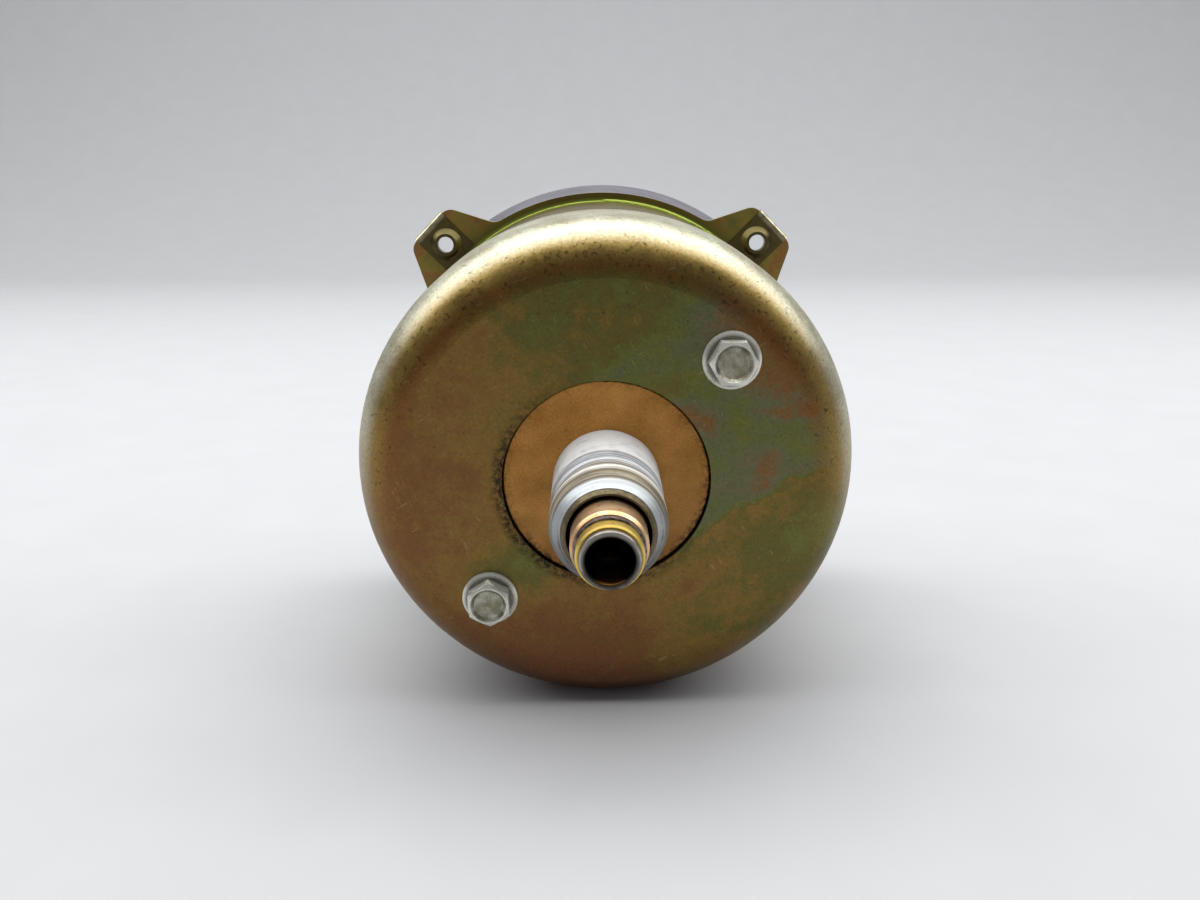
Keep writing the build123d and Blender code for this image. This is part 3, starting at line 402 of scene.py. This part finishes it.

# %% [markdown]
# The film has rubbed thin where the case is handled: round the upper part of the big rounded edge
# the olive turns orange-brown, then gold, and then the pale bloom of bare zinc, which fades again
# down the cylinder's sides. The gold and pale bands are also a painted highlight of the overhead
# lamp, which is why they keep to the upper part. Dark pits gather in the orange band. Fine
# scratches lie in two directions, as a hand leaves them. Old grime has dried in crumbs round the
# boss, thickest at the lower left.

# %% Wear, grime and painted highlight on the case
forward, height = coordinate(tree, place, "Y"), coordinate(tree, place, "Z")
from_axis = axis_distance(tree, place)
upper_part = between_mm(tree, height, -16, 20, smooth=True)
rub = noise(tree, place, 5, 8.0, 0.7)
on_side = between_mm(tree, forward, -53, -46)
side_fade = blend(tree, on_side, 1.0, between_mm(tree, height, 18, 36, 0.25, 1.0))
wear_and_highlight = times(tree, upper_part, between(tree, rub, 0.35, 0.65, 0.55, 1.0), side_fade)
covered = film_colour
# Rubbed film and painted highlight: the gold and pale bands stand in partly for the lamp's
# highlight.
for start, full, most, colour in ((31.6, 34.2, 0.85, "#8e5a2a"), (33.9, 37.0, 1.0, "#b09650"),
                                  (36.6, 39.4, 1.0, "#dcddc8")):
    band = between_mm(tree, from_axis, start, full, 0.0, most, smooth=True)
    covered = mix(tree, times(tree, band, wear_and_highlight), covered, colour)

grain = noise(tree, place, 0.45, 3.0, 0.6)
marked = mix(tree, between(tree, grain, 0.3, 0.7, 0.0, 0.4), covered, "#4a4026")
more_pits = times(tree, between_mm(tree, from_axis, 31, 34.5, 0.0, 0.075),
                  between_mm(tree, from_axis, 36.5, 39, 1.0, 0.35), upper_part)
pits = plus(tree, noise(tree, place, 0.8, 4.0, 0.65), more_pits)
marked = mix(tree, between(tree, pits, 0.645, 0.72, 0.0, 0.65), marked, "#2e281a")
for turn_degrees, patch_mm in ((25, 6.0), (-62, 5.0)):
    rotated = add(tree, "Mapping", {"Vector": place, "Rotation": (0, radians(turn_degrees), 0)})
    streak = noise(tree, scaled(tree, rotated.outputs[0], (0.1, 1, 1)), 0.32)
    patch = noise(tree, place, patch_mm)
    scratch = times(tree, between(tree, streak, 0.66, 0.72, 0.0, 0.4),
                    between(tree, patch, 0.52, 0.62))
    marked = mix(tree, scratch, marked, "#a89868")

by_boss = between_mm(tree, from_axis, 17, 19, 1.0, 0.0, smooth=True)
low_left = between_mm(tree, towards(tree, place, (-0.75, 0, -0.66)), -10, 10)
crumbs = between(tree, noise(tree, place, 0.8, 5.0, 0.8), 0.38, 0.56)
grime = times(tree, by_boss, low_left, crumbs)
matt_edge = between_mm(tree, from_axis, 35, 39, 0.0, 0.14)
relief = noise(tree, place, 0.5, 4.0, 0.6)
link(tree, shader, Base_Color=mix(tree, grime, marked, "#2c2014"),
     Roughness=plus(tree, between(tree, rub, 0.3, 0.7, 0.2, 0.36), matt_edge),
     Normal=bumped(tree, relief, 0.035, 0.6))
print("the case's finish has", len(tree.nodes), "nodes")

# %% [markdown]
# The skirt, flange and ears are one pressing with the same plating, brighter and more even,
# because the case shields it. It is olive-yellow, with a thin bright green line along the bend
# between skirt and flange, which is a painted highlight of the bend, tinted by the film. The ears
# are golden with a red tinge in places, and the sheared edges of the sheet are pale. The clip nuts
# are spring steel with a dark olive phosphate, rubbed bright where the sheet is folded over the
# ear's end. Skirt and ears could have a finish each, but they are one sheet, so the distance from
# the axis tells them apart in one.

# %% The flange and the clip nuts
flange_material, tree, shader = new_finish("yellow_chromate_flange", Metallic=0.85)
place = object_place(tree)
from_axis = axis_distance(tree, place)
forward = coordinate(tree, place, "Y")
cloud = noise(tree, place, 8, 7.0, 0.65)
film = plus(tree, between_mm(tree, from_axis, 39, 50), cloud)
skirt_tints = colours(tree, film, [
    (0.34, "#756632"), (0.48, "#7e6c38"), (0.60, "#787038"), (0.80, "#84783a"), (1.0, "#8e7a38")])
ear_tints = colours(tree, noise(tree, place, 5, 6.0, 0.6), [
    (0.25, "#74703c"), (0.42, "#8a7e3e"), (0.5, "#9a8440"), (0.58, "#9c6c40"), (0.66, "#8c8044")])
tinted = mix(tree, between_mm(tree, from_axis, 40.5, 43.5), skirt_tints, ear_tints)
# Painted highlight: a thin bright green line along the bend.
bend_highlight = times(tree, between_mm(tree, forward, -2.1, -1.5),
                between_mm(tree, from_axis, 40.5, 40.1))
tinted = mix(tree, bend_highlight, tinted, "#93a046")
sheared = times(tree, between_mm(tree, forward, -0.98, -0.92),
                between_mm(tree, forward, -0.02, -0.08))
link(tree, shader, Base_Color=mix(tree, sheared, tinted, "#dcd4ac"),
     Roughness=between(tree, cloud, 0.3, 0.7, 0.26, 0.4),
     Normal=bumped(tree, noise(tree, place, 0.5, 3.0), 0.008, 0.5))

clip_material, tree, shader = new_finish("olive_phosphate_clip", Metallic=0.8)
place = object_place(tree)
mirrored = add(tree, "VectorMath", {0: place}, operation="ABSOLUTE").outputs[0]
along_ear = towards(tree, mirrored, (0.7071, 0, 0.7071))
patchy = noise(tree, place, 1.5, 5.0)
rubbed = times(tree, between_mm(tree, along_ear, 48.2, 49.2),
               between(tree, patchy, 0.35, 0.55, 0.5, 1.0))
phosphate = mix(tree, patchy, "#453c20", "#6c6238")
link(tree, shader, Base_Color=mix(tree, rubbed, phosphate, "#c9c2a0"),
     Roughness=between(tree, patchy, 0.0, 1.0, 0.2, 0.4))
print("nodes: flange", len(flange_material.node_tree.nodes), "clip nuts", len(tree.nodes))

# %% [markdown]
# The boss in the case's hole is part of the movement's zinc casting, dipped in the same chromate
# but matt, warm orange-brown and mottled like leather, because a casting's skin is rough. Its lower
# part is painted darker as painted shade, and crumbs of grime sit on the rim of the boss, but not
# on the parts inside.

# %% The casting
tree, shader, clean = reopened(finishes["chromated_casting"])
place = object_place(tree)
# Painted shade: the casting gets darker towards the bottom.
casting_low_shade = between_mm(tree, towards(tree, place, (0.3, 0, -1)), -12, 14, 0.0, 0.6)
darkened = mix(tree, casting_low_shade, clean, "#6a4824")
boss_rim = between_mm(tree, axis_distance(tree, place), 14.8, 16.2)
at_back = between_mm(tree, coordinate(tree, place, "Y"), -55, -56)
crumbs = between(tree, noise(tree, place, 0.8, 5.0, 0.8), 0.48, 0.56)
low_part = between(tree, casting_low_shade, 0.0, 0.5, 0.3, 1.0)
grime = times(tree, boss_rim, at_back, crumbs, low_part)
link(tree, shader, Base_Color=mix(tree, grime, darkened, "#38240f"))
print("nodes: casting", len(tree.nodes))

# %% [markdown]
# The stem is turned steel. From the case outwards it has a bright land, a blue-grey band where
# the cable's nut has worn it, a paler band, a dirty groove and a bright bevel, at measured
# distances along the axis. A picture wrapped round it would have a seam, so one colour ramp reads
# that distance and nothing else. Dark tool lines run round the worn part only, dirt sits in
# blotches, the sides and underside are darkened as painted shade, and the bevel is bare metal.

# %% The stem
stem_material, tree, shader = new_finish("turned_stem_steel")
place = object_place(tree)
forward = coordinate(tree, place, "Y")
along_stem = between_mm(tree, forward, -57.4, -80.6)
bands = colours(tree, along_stem, [
    (0.0, "#ecedec"), (0.43, "#f0f0ef"), (0.45, "#c6cad0"), (0.57, "#b2b8c0"), (0.60, "#d8d9da"),
    (0.69, "#9c9d9c"), (0.71, "#f0efec"), (0.79, "#d8d4c8"), (0.82, "#83714e"), (0.84, "#cfc9b8"),
    (0.87, "#a89c80"), (0.885, "#5e5238"), (0.90, "#ccd0d2"), (1.0, "#d2d8de")])
rings = scaled(tree, place, (0.03, 1, 0.03))
marks = noise(tree, rings, 0.45, 5.0, 0.75)
blotches = noise(tree, place, 2.5, 7.0, 0.7)
soil = between(tree, plus(tree, marks, blotches), 1.02, 1.34, 0.0, 0.6)
# Painted shade: the sides and underside of the stem are darkened.
below = between_mm(tree, coordinate(tree, place, "Z"), 6, -3, 0.0, 0.85)
soiled_and_shaded = mix(tree, plus(tree, soil, below, clamp=True), bands, "#6e6c68")
past_land = between(tree, along_stem, 0.42, 0.46)
before_bevel = between(tree, along_stem, 0.905, 0.885, 0.3, 1.0)
tool_lines = between(tree, noise(tree, rings, 0.5, 3.0), 0.5, 0.6, 0.0, 0.85)
lined = mix(tree, times(tree, past_land, before_bevel, tool_lines), soiled_and_shaded, "#6c6250")
link(tree, shader, Base_Color=lined,
     Roughness=between(tree, marks, 0.3, 0.7, 0.4, 0.55),
     Metallic=between_mm(tree, forward, -77.8, -78.2, 0.12, 0.95),
     Normal=bumped(tree, marks, 0.04, 0.6))
print("nodes: stem", len(tree.nodes))

# %% [markdown]
# The end of the drive spindle is ground steel. Its lip is coloured in rings, dark inwards and
# light near the outer edge, a painted highlight and shade of its rounded form, and it is darker
# below as painted shade. Inside, the socket is near-black, with orange patches low down. So the
# colour changes with the distance from the axis first, and with the height after that. A second
# finish on the faces inside would need the mesh cut up, and this doesn't.

# %% The spindle
spindle_material, tree, shader = new_finish("ground_spindle_steel", Metallic=0.9)
place = object_place(tree)
height = coordinate(tree, place, "Z")
from_axis = axis_distance(tree, place)
inside = between_mm(tree, from_axis, 3.5, 3.25)
low_orange_patches = times(tree, between_mm(tree, height, -2.5, -3.2), noise(tree, place, 1.2, 5.0))
socket_colour = mix(tree, low_orange_patches, "#0b0906", "#a8702c")
# Painted highlight and shade: the lip's rounding is drawn as rings from dark to light.
lip = colours(tree, between_mm(tree, from_axis, 3.2, 4.16), [
    (0.0, "#26221c"), (0.3, "#4c4842"), (0.55, "#8a847c"), (0.8, "#d2ccc4"), (0.95, "#8a847c")])
smears = between(tree, noise(tree, place, 2.2, 4.0), 0.4, 0.8, 0.0, 0.6)
# Painted shade: the lip darkens towards its underside.
low_lip = between_mm(tree, height, 2.0, -3.5, 0.0, 0.7)
steel = mix(tree, plus(tree, smears, low_lip, clamp=True), lip, "#3c3832")
link(tree, shader, Base_Color=mix(tree, inside, steel, socket_colour),
     Roughness=between(tree, inside, 0.0, 1.0, 0.36, 0.5))
print("nodes: spindle", len(tree.nodes))

# %% [markdown]
# What is left is the front: black enamel on the dial, white paint, moulded number drums, a rubber
# gasket and flat glass. Enamel, plastic and rubber aren't metals, so their base colour is plain
# and their gloss carries the look, with a fine grain so that no surface is perfectly even. The
# glass has faint smears, which only its roughness shows.

# %% Enamel, paint, plastic, rubber and glass
def coated(name, colour, shade, rough, grain_mm=0.4, bump_mm=0.004):
    """A coat or moulding: two near shades and a gloss in cloudy patches, with a fine grain."""
    material, tree, shader = new_finish(name, Metallic=0.0)
    place = object_place(tree)
    cloud = noise(tree, place, 9, 5.0)
    link(tree, shader, Base_Color=mix(tree, cloud, colour, shade),
         Roughness=between(tree, cloud, 0.3, 0.7, rough - 0.05, rough + 0.08),
         Normal=bumped(tree, noise(tree, place, grain_mm, 3.0), bump_mm, 0.5))
    return material


coats = {
    "black_enamel": ("#141414", "#1c1c1b", 0.55),
    "blackened_screw": ("#26262a", "#18181a", 0.35),
    "white_dial_paint": ("#e9e6da", "#dedac9", 0.6),
    "white_drum_plastic": ("#e8e5da", "#dcd8ca", 0.35),
    "black_drum_plastic": ("#181818", "#202020", 0.35),
    "pinion_plastic": ("#d9d2bc", "#cbc3aa", 0.4),
    "gasket_rubber": ("#151515", "#1f1e1d", 0.7, 0.6, 0.01),
}
finishes |= {name: coated(name, *look) for name, look in coats.items()}
glass_material, tree, shader = new_finish("lens_glass", Metallic=0.0, IOR=1.52,
                                          Transmission_Weight=1.0)
smears = noise(tree, object_place(tree), 14, 6.0)
link(tree, shader, Roughness=between(tree, smears, 0.45, 0.8, 0.0, 0.06))
finishes |= {"case": case_material, "flange": flange_material, "clip": clip_material,
             "stem": stem_material, "spindle": spindle_material, "glass": glass_material}
print("finishes in all:", len(finishes))

# %% [markdown]
# Every CAD node now gets its finish. The node's mesh is left exactly as it is, and only its
# material slots are filled. A dictionary from finish to nodes is easier to check than one from
# node to finish, because it shows at a glance which parts are made of the same stuff.

# %% Finish the CAD nodes
nodes_of = {
    "case": ["rear_case"],
    "flange": ["front_housing"],
    "clip": ["clip_nuts"],
    "chromated_casting": ["movement_frame"],
    "stem": ["drive_stem"],
    "spindle": ["drive_spindle"],
    "tarnished_liner": ["stem_liner"],
    "bearing_bronze": ["stem_bush", "hairspring"],
    "collar_brass": ["spindle_collar"],
    "blued_spring": ["spindle_snap_ring"],
    "zinc_plated_screw": ["case_screws", "bridge_screws", "plate_screws"],
    "satin_bezel": ["bezel_ring"],
    "gasket_rubber": ["lens_gasket"],
    "glass": ["lens_glass"],
    "spring_wire": ["lens_snap_ring"],
    "black_enamel": ["dial_plate", "dial_spacer", "pointer_cap"],
    "blackened_screw": ["dial_screws"],
    "turned_brass": ["stop_pin", "staff_bush", "hairspring_stud", "spring_collet", "cross_wheel",
                     "lay_wheel", "counter_wheel"],
    "satin_brass_sheet": ["front_plate", "cup_bridge"],
    "nickelled_iron": ["flux_cup"],
    "bright_shaft_steel": ["counter_bracket", "counter_axle", "pinion_axle", "cross_shaft",
                           "lay_shaft", "pointer_staff"],
    "sintered_magnet": ["drive_magnet"],
    "spun_aluminium": ["drag_cup"],
    "white_dial_paint": ["pointer"],
    "white_drum_plastic": ["drum_1"],
    "black_drum_plastic": ["drum_2", "drum_3", "drum_4", "drum_5"],
    "pinion_plastic": [f"transfer_pinion_{number}" for number in range(1, 5)],
}
for finish, nodes in nodes_of.items():
    for node in nodes:
        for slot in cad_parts[node].material_slots:
            slot.material = finishes[finish]
unfinished = set(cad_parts) - {node for nodes in nodes_of.values() for node in nodes}
print("finishes in use:", len(nodes_of), "nodes without one:", sorted(unfinished))

# %% [markdown]
# The three worms are single-start threads of axial pitch pi times the module. The CAD keeps only
# their root cylinders, so the ridge is made here as a surface of two parameters: one runs round
# the helix, the other across the ridge's trapezoid. A ready-made screw would have the same form,
# but the formula also says where the ridge begins. The phase is set so that the ridge lies in a
# gap of the wheel, whose first tooth points at the worm.

# %% The worm threads
def closed_strip(rows, columns):
    """Faces of a grid of rows by columns points whose columns close on themselves, with both ends
    capped by one polygon each."""
    first = np.arange(rows - 1)[:, None] * columns + np.arange(columns)[None, :]
    after = np.arange(rows - 1)[:, None] * columns + (np.arange(columns)[None, :] + 1) % columns
    corners = np.stack([first, after, after + columns, first + columns], axis=-1)
    faces = corners.reshape(-1, 4).tolist()
    faces.append(list(range(columns))[::-1])
    faces.append(list(range((rows - 1) * columns, rows * columns)))
    return faces


def mesh_piece(name, points, faces, material, body):
    """A mesh object from points in metres and faces, with its normals made to point outwards."""
    mesh = bpy.data.meshes.new(name)
    mesh.from_pydata(np.asarray(points).tolist(), [], faces)
    shape = bmesh.new()
    shape.from_mesh(mesh)
    bmesh.ops.recalc_face_normals(shape, faces=shape.faces)
    shape.to_mesh(mesh)
    shape.free()
    mesh.materials.append(material)
    piece = bpy.data.objects.new(name, mesh)
    bpy.context.scene.collection.objects.link(piece)
    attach(piece, body)
    return piece


lead = pi * 0.3
end_gap = 0.3 * lead
steps_per_turn = 48
foot, crest, sunk = 0.30, 0.14, 0.05


def worm_thread(name, axis, centre, start, length, root, tip, wheel_side, tooth_at, body):
    """Right-handed ridge round a root cylinder. A point's angle is u, its height along the axis is
    lead times u over a full turn, and across the ridge it runs from root to tip and back: foot
    and crest are its half widths in pitches, and the foot is sunk into the cylinder. The ridge is
    half a pitch from tooth_at at the angle wheel_side, where the wheel is. Lengths are in mm."""
    turns = (length - 2 * end_gap) / lead
    u = np.linspace(0, 2 * pi * turns, int(steps_per_turn * turns))[:, None]
    across = np.array([[-foot, root - sunk], [-crest, tip], [crest, tip], [foot, root - sunk]])
    height = start + end_gap + lead * u / (2 * pi) + across[None, :, 0] * lead
    radius = np.broadcast_to(across[None, :, 1], height.shape)
    phase = wheel_side - 2 * pi * (tooth_at + lead / 2 - start - end_gap) / lead
    angle = np.broadcast_to(u, height.shape) + phase
    p, q = radius * np.cos(angle), radius * np.sin(angle)
    x, y, z = centre
    if axis == "Y":
        points = np.stack([x + p, height, z - q], axis=-1)
    else:
        points = np.stack([x + p, y + q, height], axis=-1)
    return mesh_piece(name, points.reshape(-1, 3) * mm, closed_strip(len(u), 4),
                      finishes["bright_shaft_steel"], body)


worms = [
    worm_thread("spindle_worm_thread", "Y", (0, 0, 0), start=-44.3, length=12.4, root=2.6,
                tip=3.28, wheel_side=pi, tooth_at=-38.2, body="spindle"),
    worm_thread("cross_worm_thread", "Z", (-9.0, -38.2, 0), start=-25.9, length=5.1, root=1.2,
                tip=1.88, wheel_side=pi, tooth_at=-23.35, body="cross"),
    worm_thread("lay_worm_thread", "Y", (-16.6, 0, -23.35), start=-15.2, length=5.0, root=1.2,
                tip=1.88, wheel_side=-pi / 2, tooth_at=-12.464, body="lay"),
]
print("faces in the worm threads:", [len(worm.data.polygons) for worm in worms])

# %% [markdown]
# The dial's numbers and the drums' digits are white or black paint, a few hundredths of a
# millimetre thick. They could be left as text objects, but text can't be wrapped round a drum. So
# Blender's own font only gives the outlines, and each is turned into a mesh, whose points numpy
# can place.

# %% Numbers as flat outlines
def number_outline(text, height):
    """Points and faces of a flat number, centred on the origin and height millimetres tall."""
    curve = bpy.data.curves.new("number", "FONT")
    curve.body = text
    curve.resolution_u = 4
    drawn = bpy.data.objects.new("number", curve)
    mesh = bpy.data.meshes.new_from_object(drawn)
    points = np.empty(len(mesh.vertices) * 3)
    mesh.vertices.foreach_get("co", points)
    points = points.reshape(-1, 3)[:, :2]
    faces = [list(polygon.vertices) for polygon in mesh.polygons]
    low, high = points.min(0), points.max(0)
    points = (points - (low + high) / 2) * height / (high[1] - low[1])
    bpy.data.objects.remove(drawn)
    bpy.data.curves.remove(curve)
    bpy.data.meshes.remove(mesh)
    return points, faces


def together(outlines):
    """Joins outlines into one: the points are stacked and each face's numbers are moved up."""
    points, faces, count = [], [], 0
    for outline_points, outline_faces in outlines:
        points.append(outline_points)
        faces += [[count + corner for corner in face] for face in outline_faces]
        count += len(outline_points)
    return np.concatenate(points), faces


def thicken(piece, thickness_mm):
    """Gives flat paint a thickness away from the surface that it lies on."""
    solid = piece.modifiers.new("paint", "SOLIDIFY")
    solid.thickness = thickness_mm * mm
    solid.offset = 1.0


dial_number_height, digit_height = 4.6, 3.3
print("faces in an 8:", len(number_outline("8", digit_height)[1]))

# %% [markdown]
# The dial has one mark for every hundred turns a minute, over three quarters of a turn, and every
# fifth mark is long and has a number. A mark is only a rectangle between two radii. The pilot
# looks from +Y, so what is to the right for the pilot has a negative x.

# %% The dial's markings
first_turn, sweep, last_mark = -135, 270, 35
mark_outer, short_inner, long_inner, number_radius = 34.6, 31.8, 29.5, 25.2
long_width, short_width = 0.8, 0.4
dial_front, paint_gap, dial_paint = -3.7, 0.01, 0.03


def ray_at(turn):
    """Direction at turn degrees, counted clockwise from straight up, as the pilot sees it."""
    return np.array([sin(radians(turn)), cos(radians(turn))])


def ring_mark(turn, inner, outer, width):
    """A mark between two radii: its corners lie width / 2 to each side of the ray at turn."""
    ray = ray_at(turn)
    side = np.array([ray[1], -ray[0]]) * width / 2
    corners = [ray * inner - side, ray * inner + side, ray * outer + side, ray * outer - side]
    return np.array(corners), [[0, 1, 2, 3]]


outlines = []
for hundred in range(last_mark + 1):
    turn = first_turn + hundred * sweep / last_mark
    if hundred % 5 == 0:
        outlines.append(ring_mark(turn, long_inner, mark_outer, long_width))
        points, faces = number_outline(str(hundred), dial_number_height)
        outlines.append((points + number_radius * ray_at(turn), faces))
    else:
        outlines.append(ring_mark(turn, short_inner, mark_outer, short_width))
points, faces = together(outlines)
paint_y = np.full(len(points), dial_front + paint_gap)
points = np.stack([-points[:, 0], paint_y, points[:, 1]], axis=-1)
markings = mesh_piece("dial_markings", points * mm, faces, finishes["white_dial_paint"], "case")
thicken(markings, dial_paint)
print("dial markings:", len(markings.data.polygons), "faces")

# %% [markdown]
# The digits of a drum are drawn on a flat strip, one for each tenth of its girth, and the strip
# is then wrapped round the drum. The outlines' faces are long, and would sink into the rim if
# only their corners were wrapped, so the strip is first cut across into narrow bands. The drum of
# tenths is white with black digits, as on most such counters, so that a pilot doesn't read it as
# whole hours.

# %% The drums' digits
drum_y, drum_z, drum_radius, drum_pitch = -12.7, -15.0, 7.0, 5.0
arc = 2 * pi * drum_radius / 10
band_mm, drum_paint = 0.45, 0.02


def drum_digits(number, shown, material, body):
    """Ten digits round a drum, with the one shown on the pilot's side. A point at width a and arc
    length b stands at x = middle - a, and at the angle b over the radius, measured from the
    pilot's side upwards."""
    middle = drum_pitch * (number - 3)
    outlines = []
    for digit in range(10):
        points, faces = number_outline(str(digit), digit_height)
        outlines.append((points + np.array([0, arc * ((digit - shown + 5) % 10 - 5)]), faces))
    points, faces = together(outlines)
    shape = bmesh.new()
    for x, y in points.tolist():
        shape.verts.new((x, y, 0))
    shape.verts.ensure_lookup_table()
    for face in faces:
        shape.faces.new([shape.verts[corner] for corner in face])
    for cut in np.arange(-5.4 * arc, 5.4 * arc, band_mm):
        bmesh.ops.bisect_plane(shape, geom=shape.verts[:] + shape.edges[:] + shape.faces[:],
                               plane_co=(0, cut, 0), plane_no=(0, 1, 0))
    shape.verts.index_update()
    flat = np.array([vertex.co[:2] for vertex in shape.verts])
    faces = [[vertex.index for vertex in face.verts] for face in shape.faces]
    shape.free()
    angle = flat[:, 1] / drum_radius
    lift = drum_radius + paint_gap
    points = np.stack([middle - flat[:, 0], drum_y + lift * np.cos(angle),
                       drum_z + lift * np.sin(angle)], axis=-1)
    digits = mesh_piece(f"drum_{number}_digits", points * mm, faces, material, body)
    thicken(digits, drum_paint)
    return digits


black = finishes["blackened_screw"], "drum_black"
white = finishes["white_dial_paint"], "pointer_paint"
for number, digit, body, (paint, slot) in ((1, 4, "tenths", black), (2, 7, "hours", white),
                                           (3, 2, "tens", white), (4, 1, "hundreds", white),
                                           (5, 0, "thousands", white)):
    piece = drum_digits(number, digit, paint, body)
    print(piece.name, len(piece.data.polygons), "faces")

# %% [markdown]
# The instrument lies on its side: the big rounded edge of the case and the rim of the bezel touch
# the floor, so the floor is tilted by the two degrees between them instead of the object. Floor
# and backdrop are one pale sheet that bends upwards far behind, so no horizon shows.

# %% Floor and backdrop
(front_y, front_z), (back_y, back_z) = (5.5, -42.6), (-49.7, -40.5)
below_touch = 0.02
slope = (back_z - front_z) / (back_y - front_y)
near_end, half_width = -1600.0, 2000.0
bend_start, bend_radius, wall_height = 700.0, 500.0, 1500.0
turn = np.linspace(0, pi / 2, 33)
sheet_y = np.concatenate([[near_end], bend_start + bend_radius * np.sin(turn),
                          [bend_start + bend_radius]])
sheet_z = np.concatenate([[0.0], bend_radius * (1 - np.cos(turn)), [wall_height]])
sheet_z = sheet_z + front_z - below_touch + slope * (np.minimum(sheet_y, bend_start) - front_y)
sheet_points = [[x * mm, y * mm, z * mm] for x in (-half_width, half_width)
                for y, z in zip(sheet_y, sheet_z)]
count = len(sheet_y)
floor_mesh = bpy.data.meshes.new("floor")
floor_mesh.from_pydata(sheet_points, [],
                       [[n, n + count, n + count + 1, n + 1] for n in range(count - 1)])
floor_mesh.shade_smooth()
floor_material, tree, shader = new_finish("pale_floor", Roughness=0.9)
link(tree, shader, Base_Color=mix(tree, noise(tree, object_place(tree), 20), "#b8b9bb", "#bebfc1"))
floor_mesh.materials.append(floor_material)
floor = bpy.data.objects.new("floor", floor_mesh)
bpy.context.scene.collection.objects.link(floor)
print("floor slope in degrees:", round(float(np.degrees(np.arctan(slope))), 2))

# %% [markdown]
# The photo was taken under a bright ceiling with nothing bright in front, which is why the metal
# shows such contrast: whatever leans back to the ceiling is nearly white, and flat faces towards
# the camera stay dark. One very wide lamp overhead stands for the ceiling, and its width carries
# the highlight round the upper edge of the case, where small lamps would leave separate spots. A
# weak lamp lights the backdrop, and the world is dim.

# %% Lamps and world
def soft_lamp(name, place_mm, aim_mm, width_mm, depth_mm, watts):
    """A rectangular lamp at a place, turned to face the point that it is aimed at."""
    data = bpy.data.lights.new(name, "AREA")
    data.shape = "RECTANGLE"
    data.size, data.size_y = width_mm * mm, depth_mm * mm
    data.energy = watts
    lamp = bpy.data.objects.new(name, data)
    at, aim = Vector(place_mm) * mm, Vector(aim_mm) * mm
    facing = (aim - at).to_track_quat("-Z", "Y").to_matrix().to_4x4()
    lamp.matrix_world = Matrix.Translation(at) @ facing
    bpy.context.scene.collection.objects.link(lamp)
    return lamp


lamps = [
    soft_lamp("overhead", (100, 80, 700), (100, 40, 0), 3400, 720, 25.0),
    soft_lamp("backdrop", (0, 400, 1000), (0, 1200, 150), 1400, 200, 5.0),
]
world = bpy.data.worlds.new("studio")
world.use_nodes = True
background = world.node_tree.nodes["Background"]
background.inputs["Color"].default_value = linear("#dcdee2")
background.inputs["Strength"].default_value = 0.26
bpy.context.scene.world = world
bpy.context.scene.view_settings.view_transform = "Standard"
print("lamps:", [(lamp.name, lamp.data.energy) for lamp in lamps])
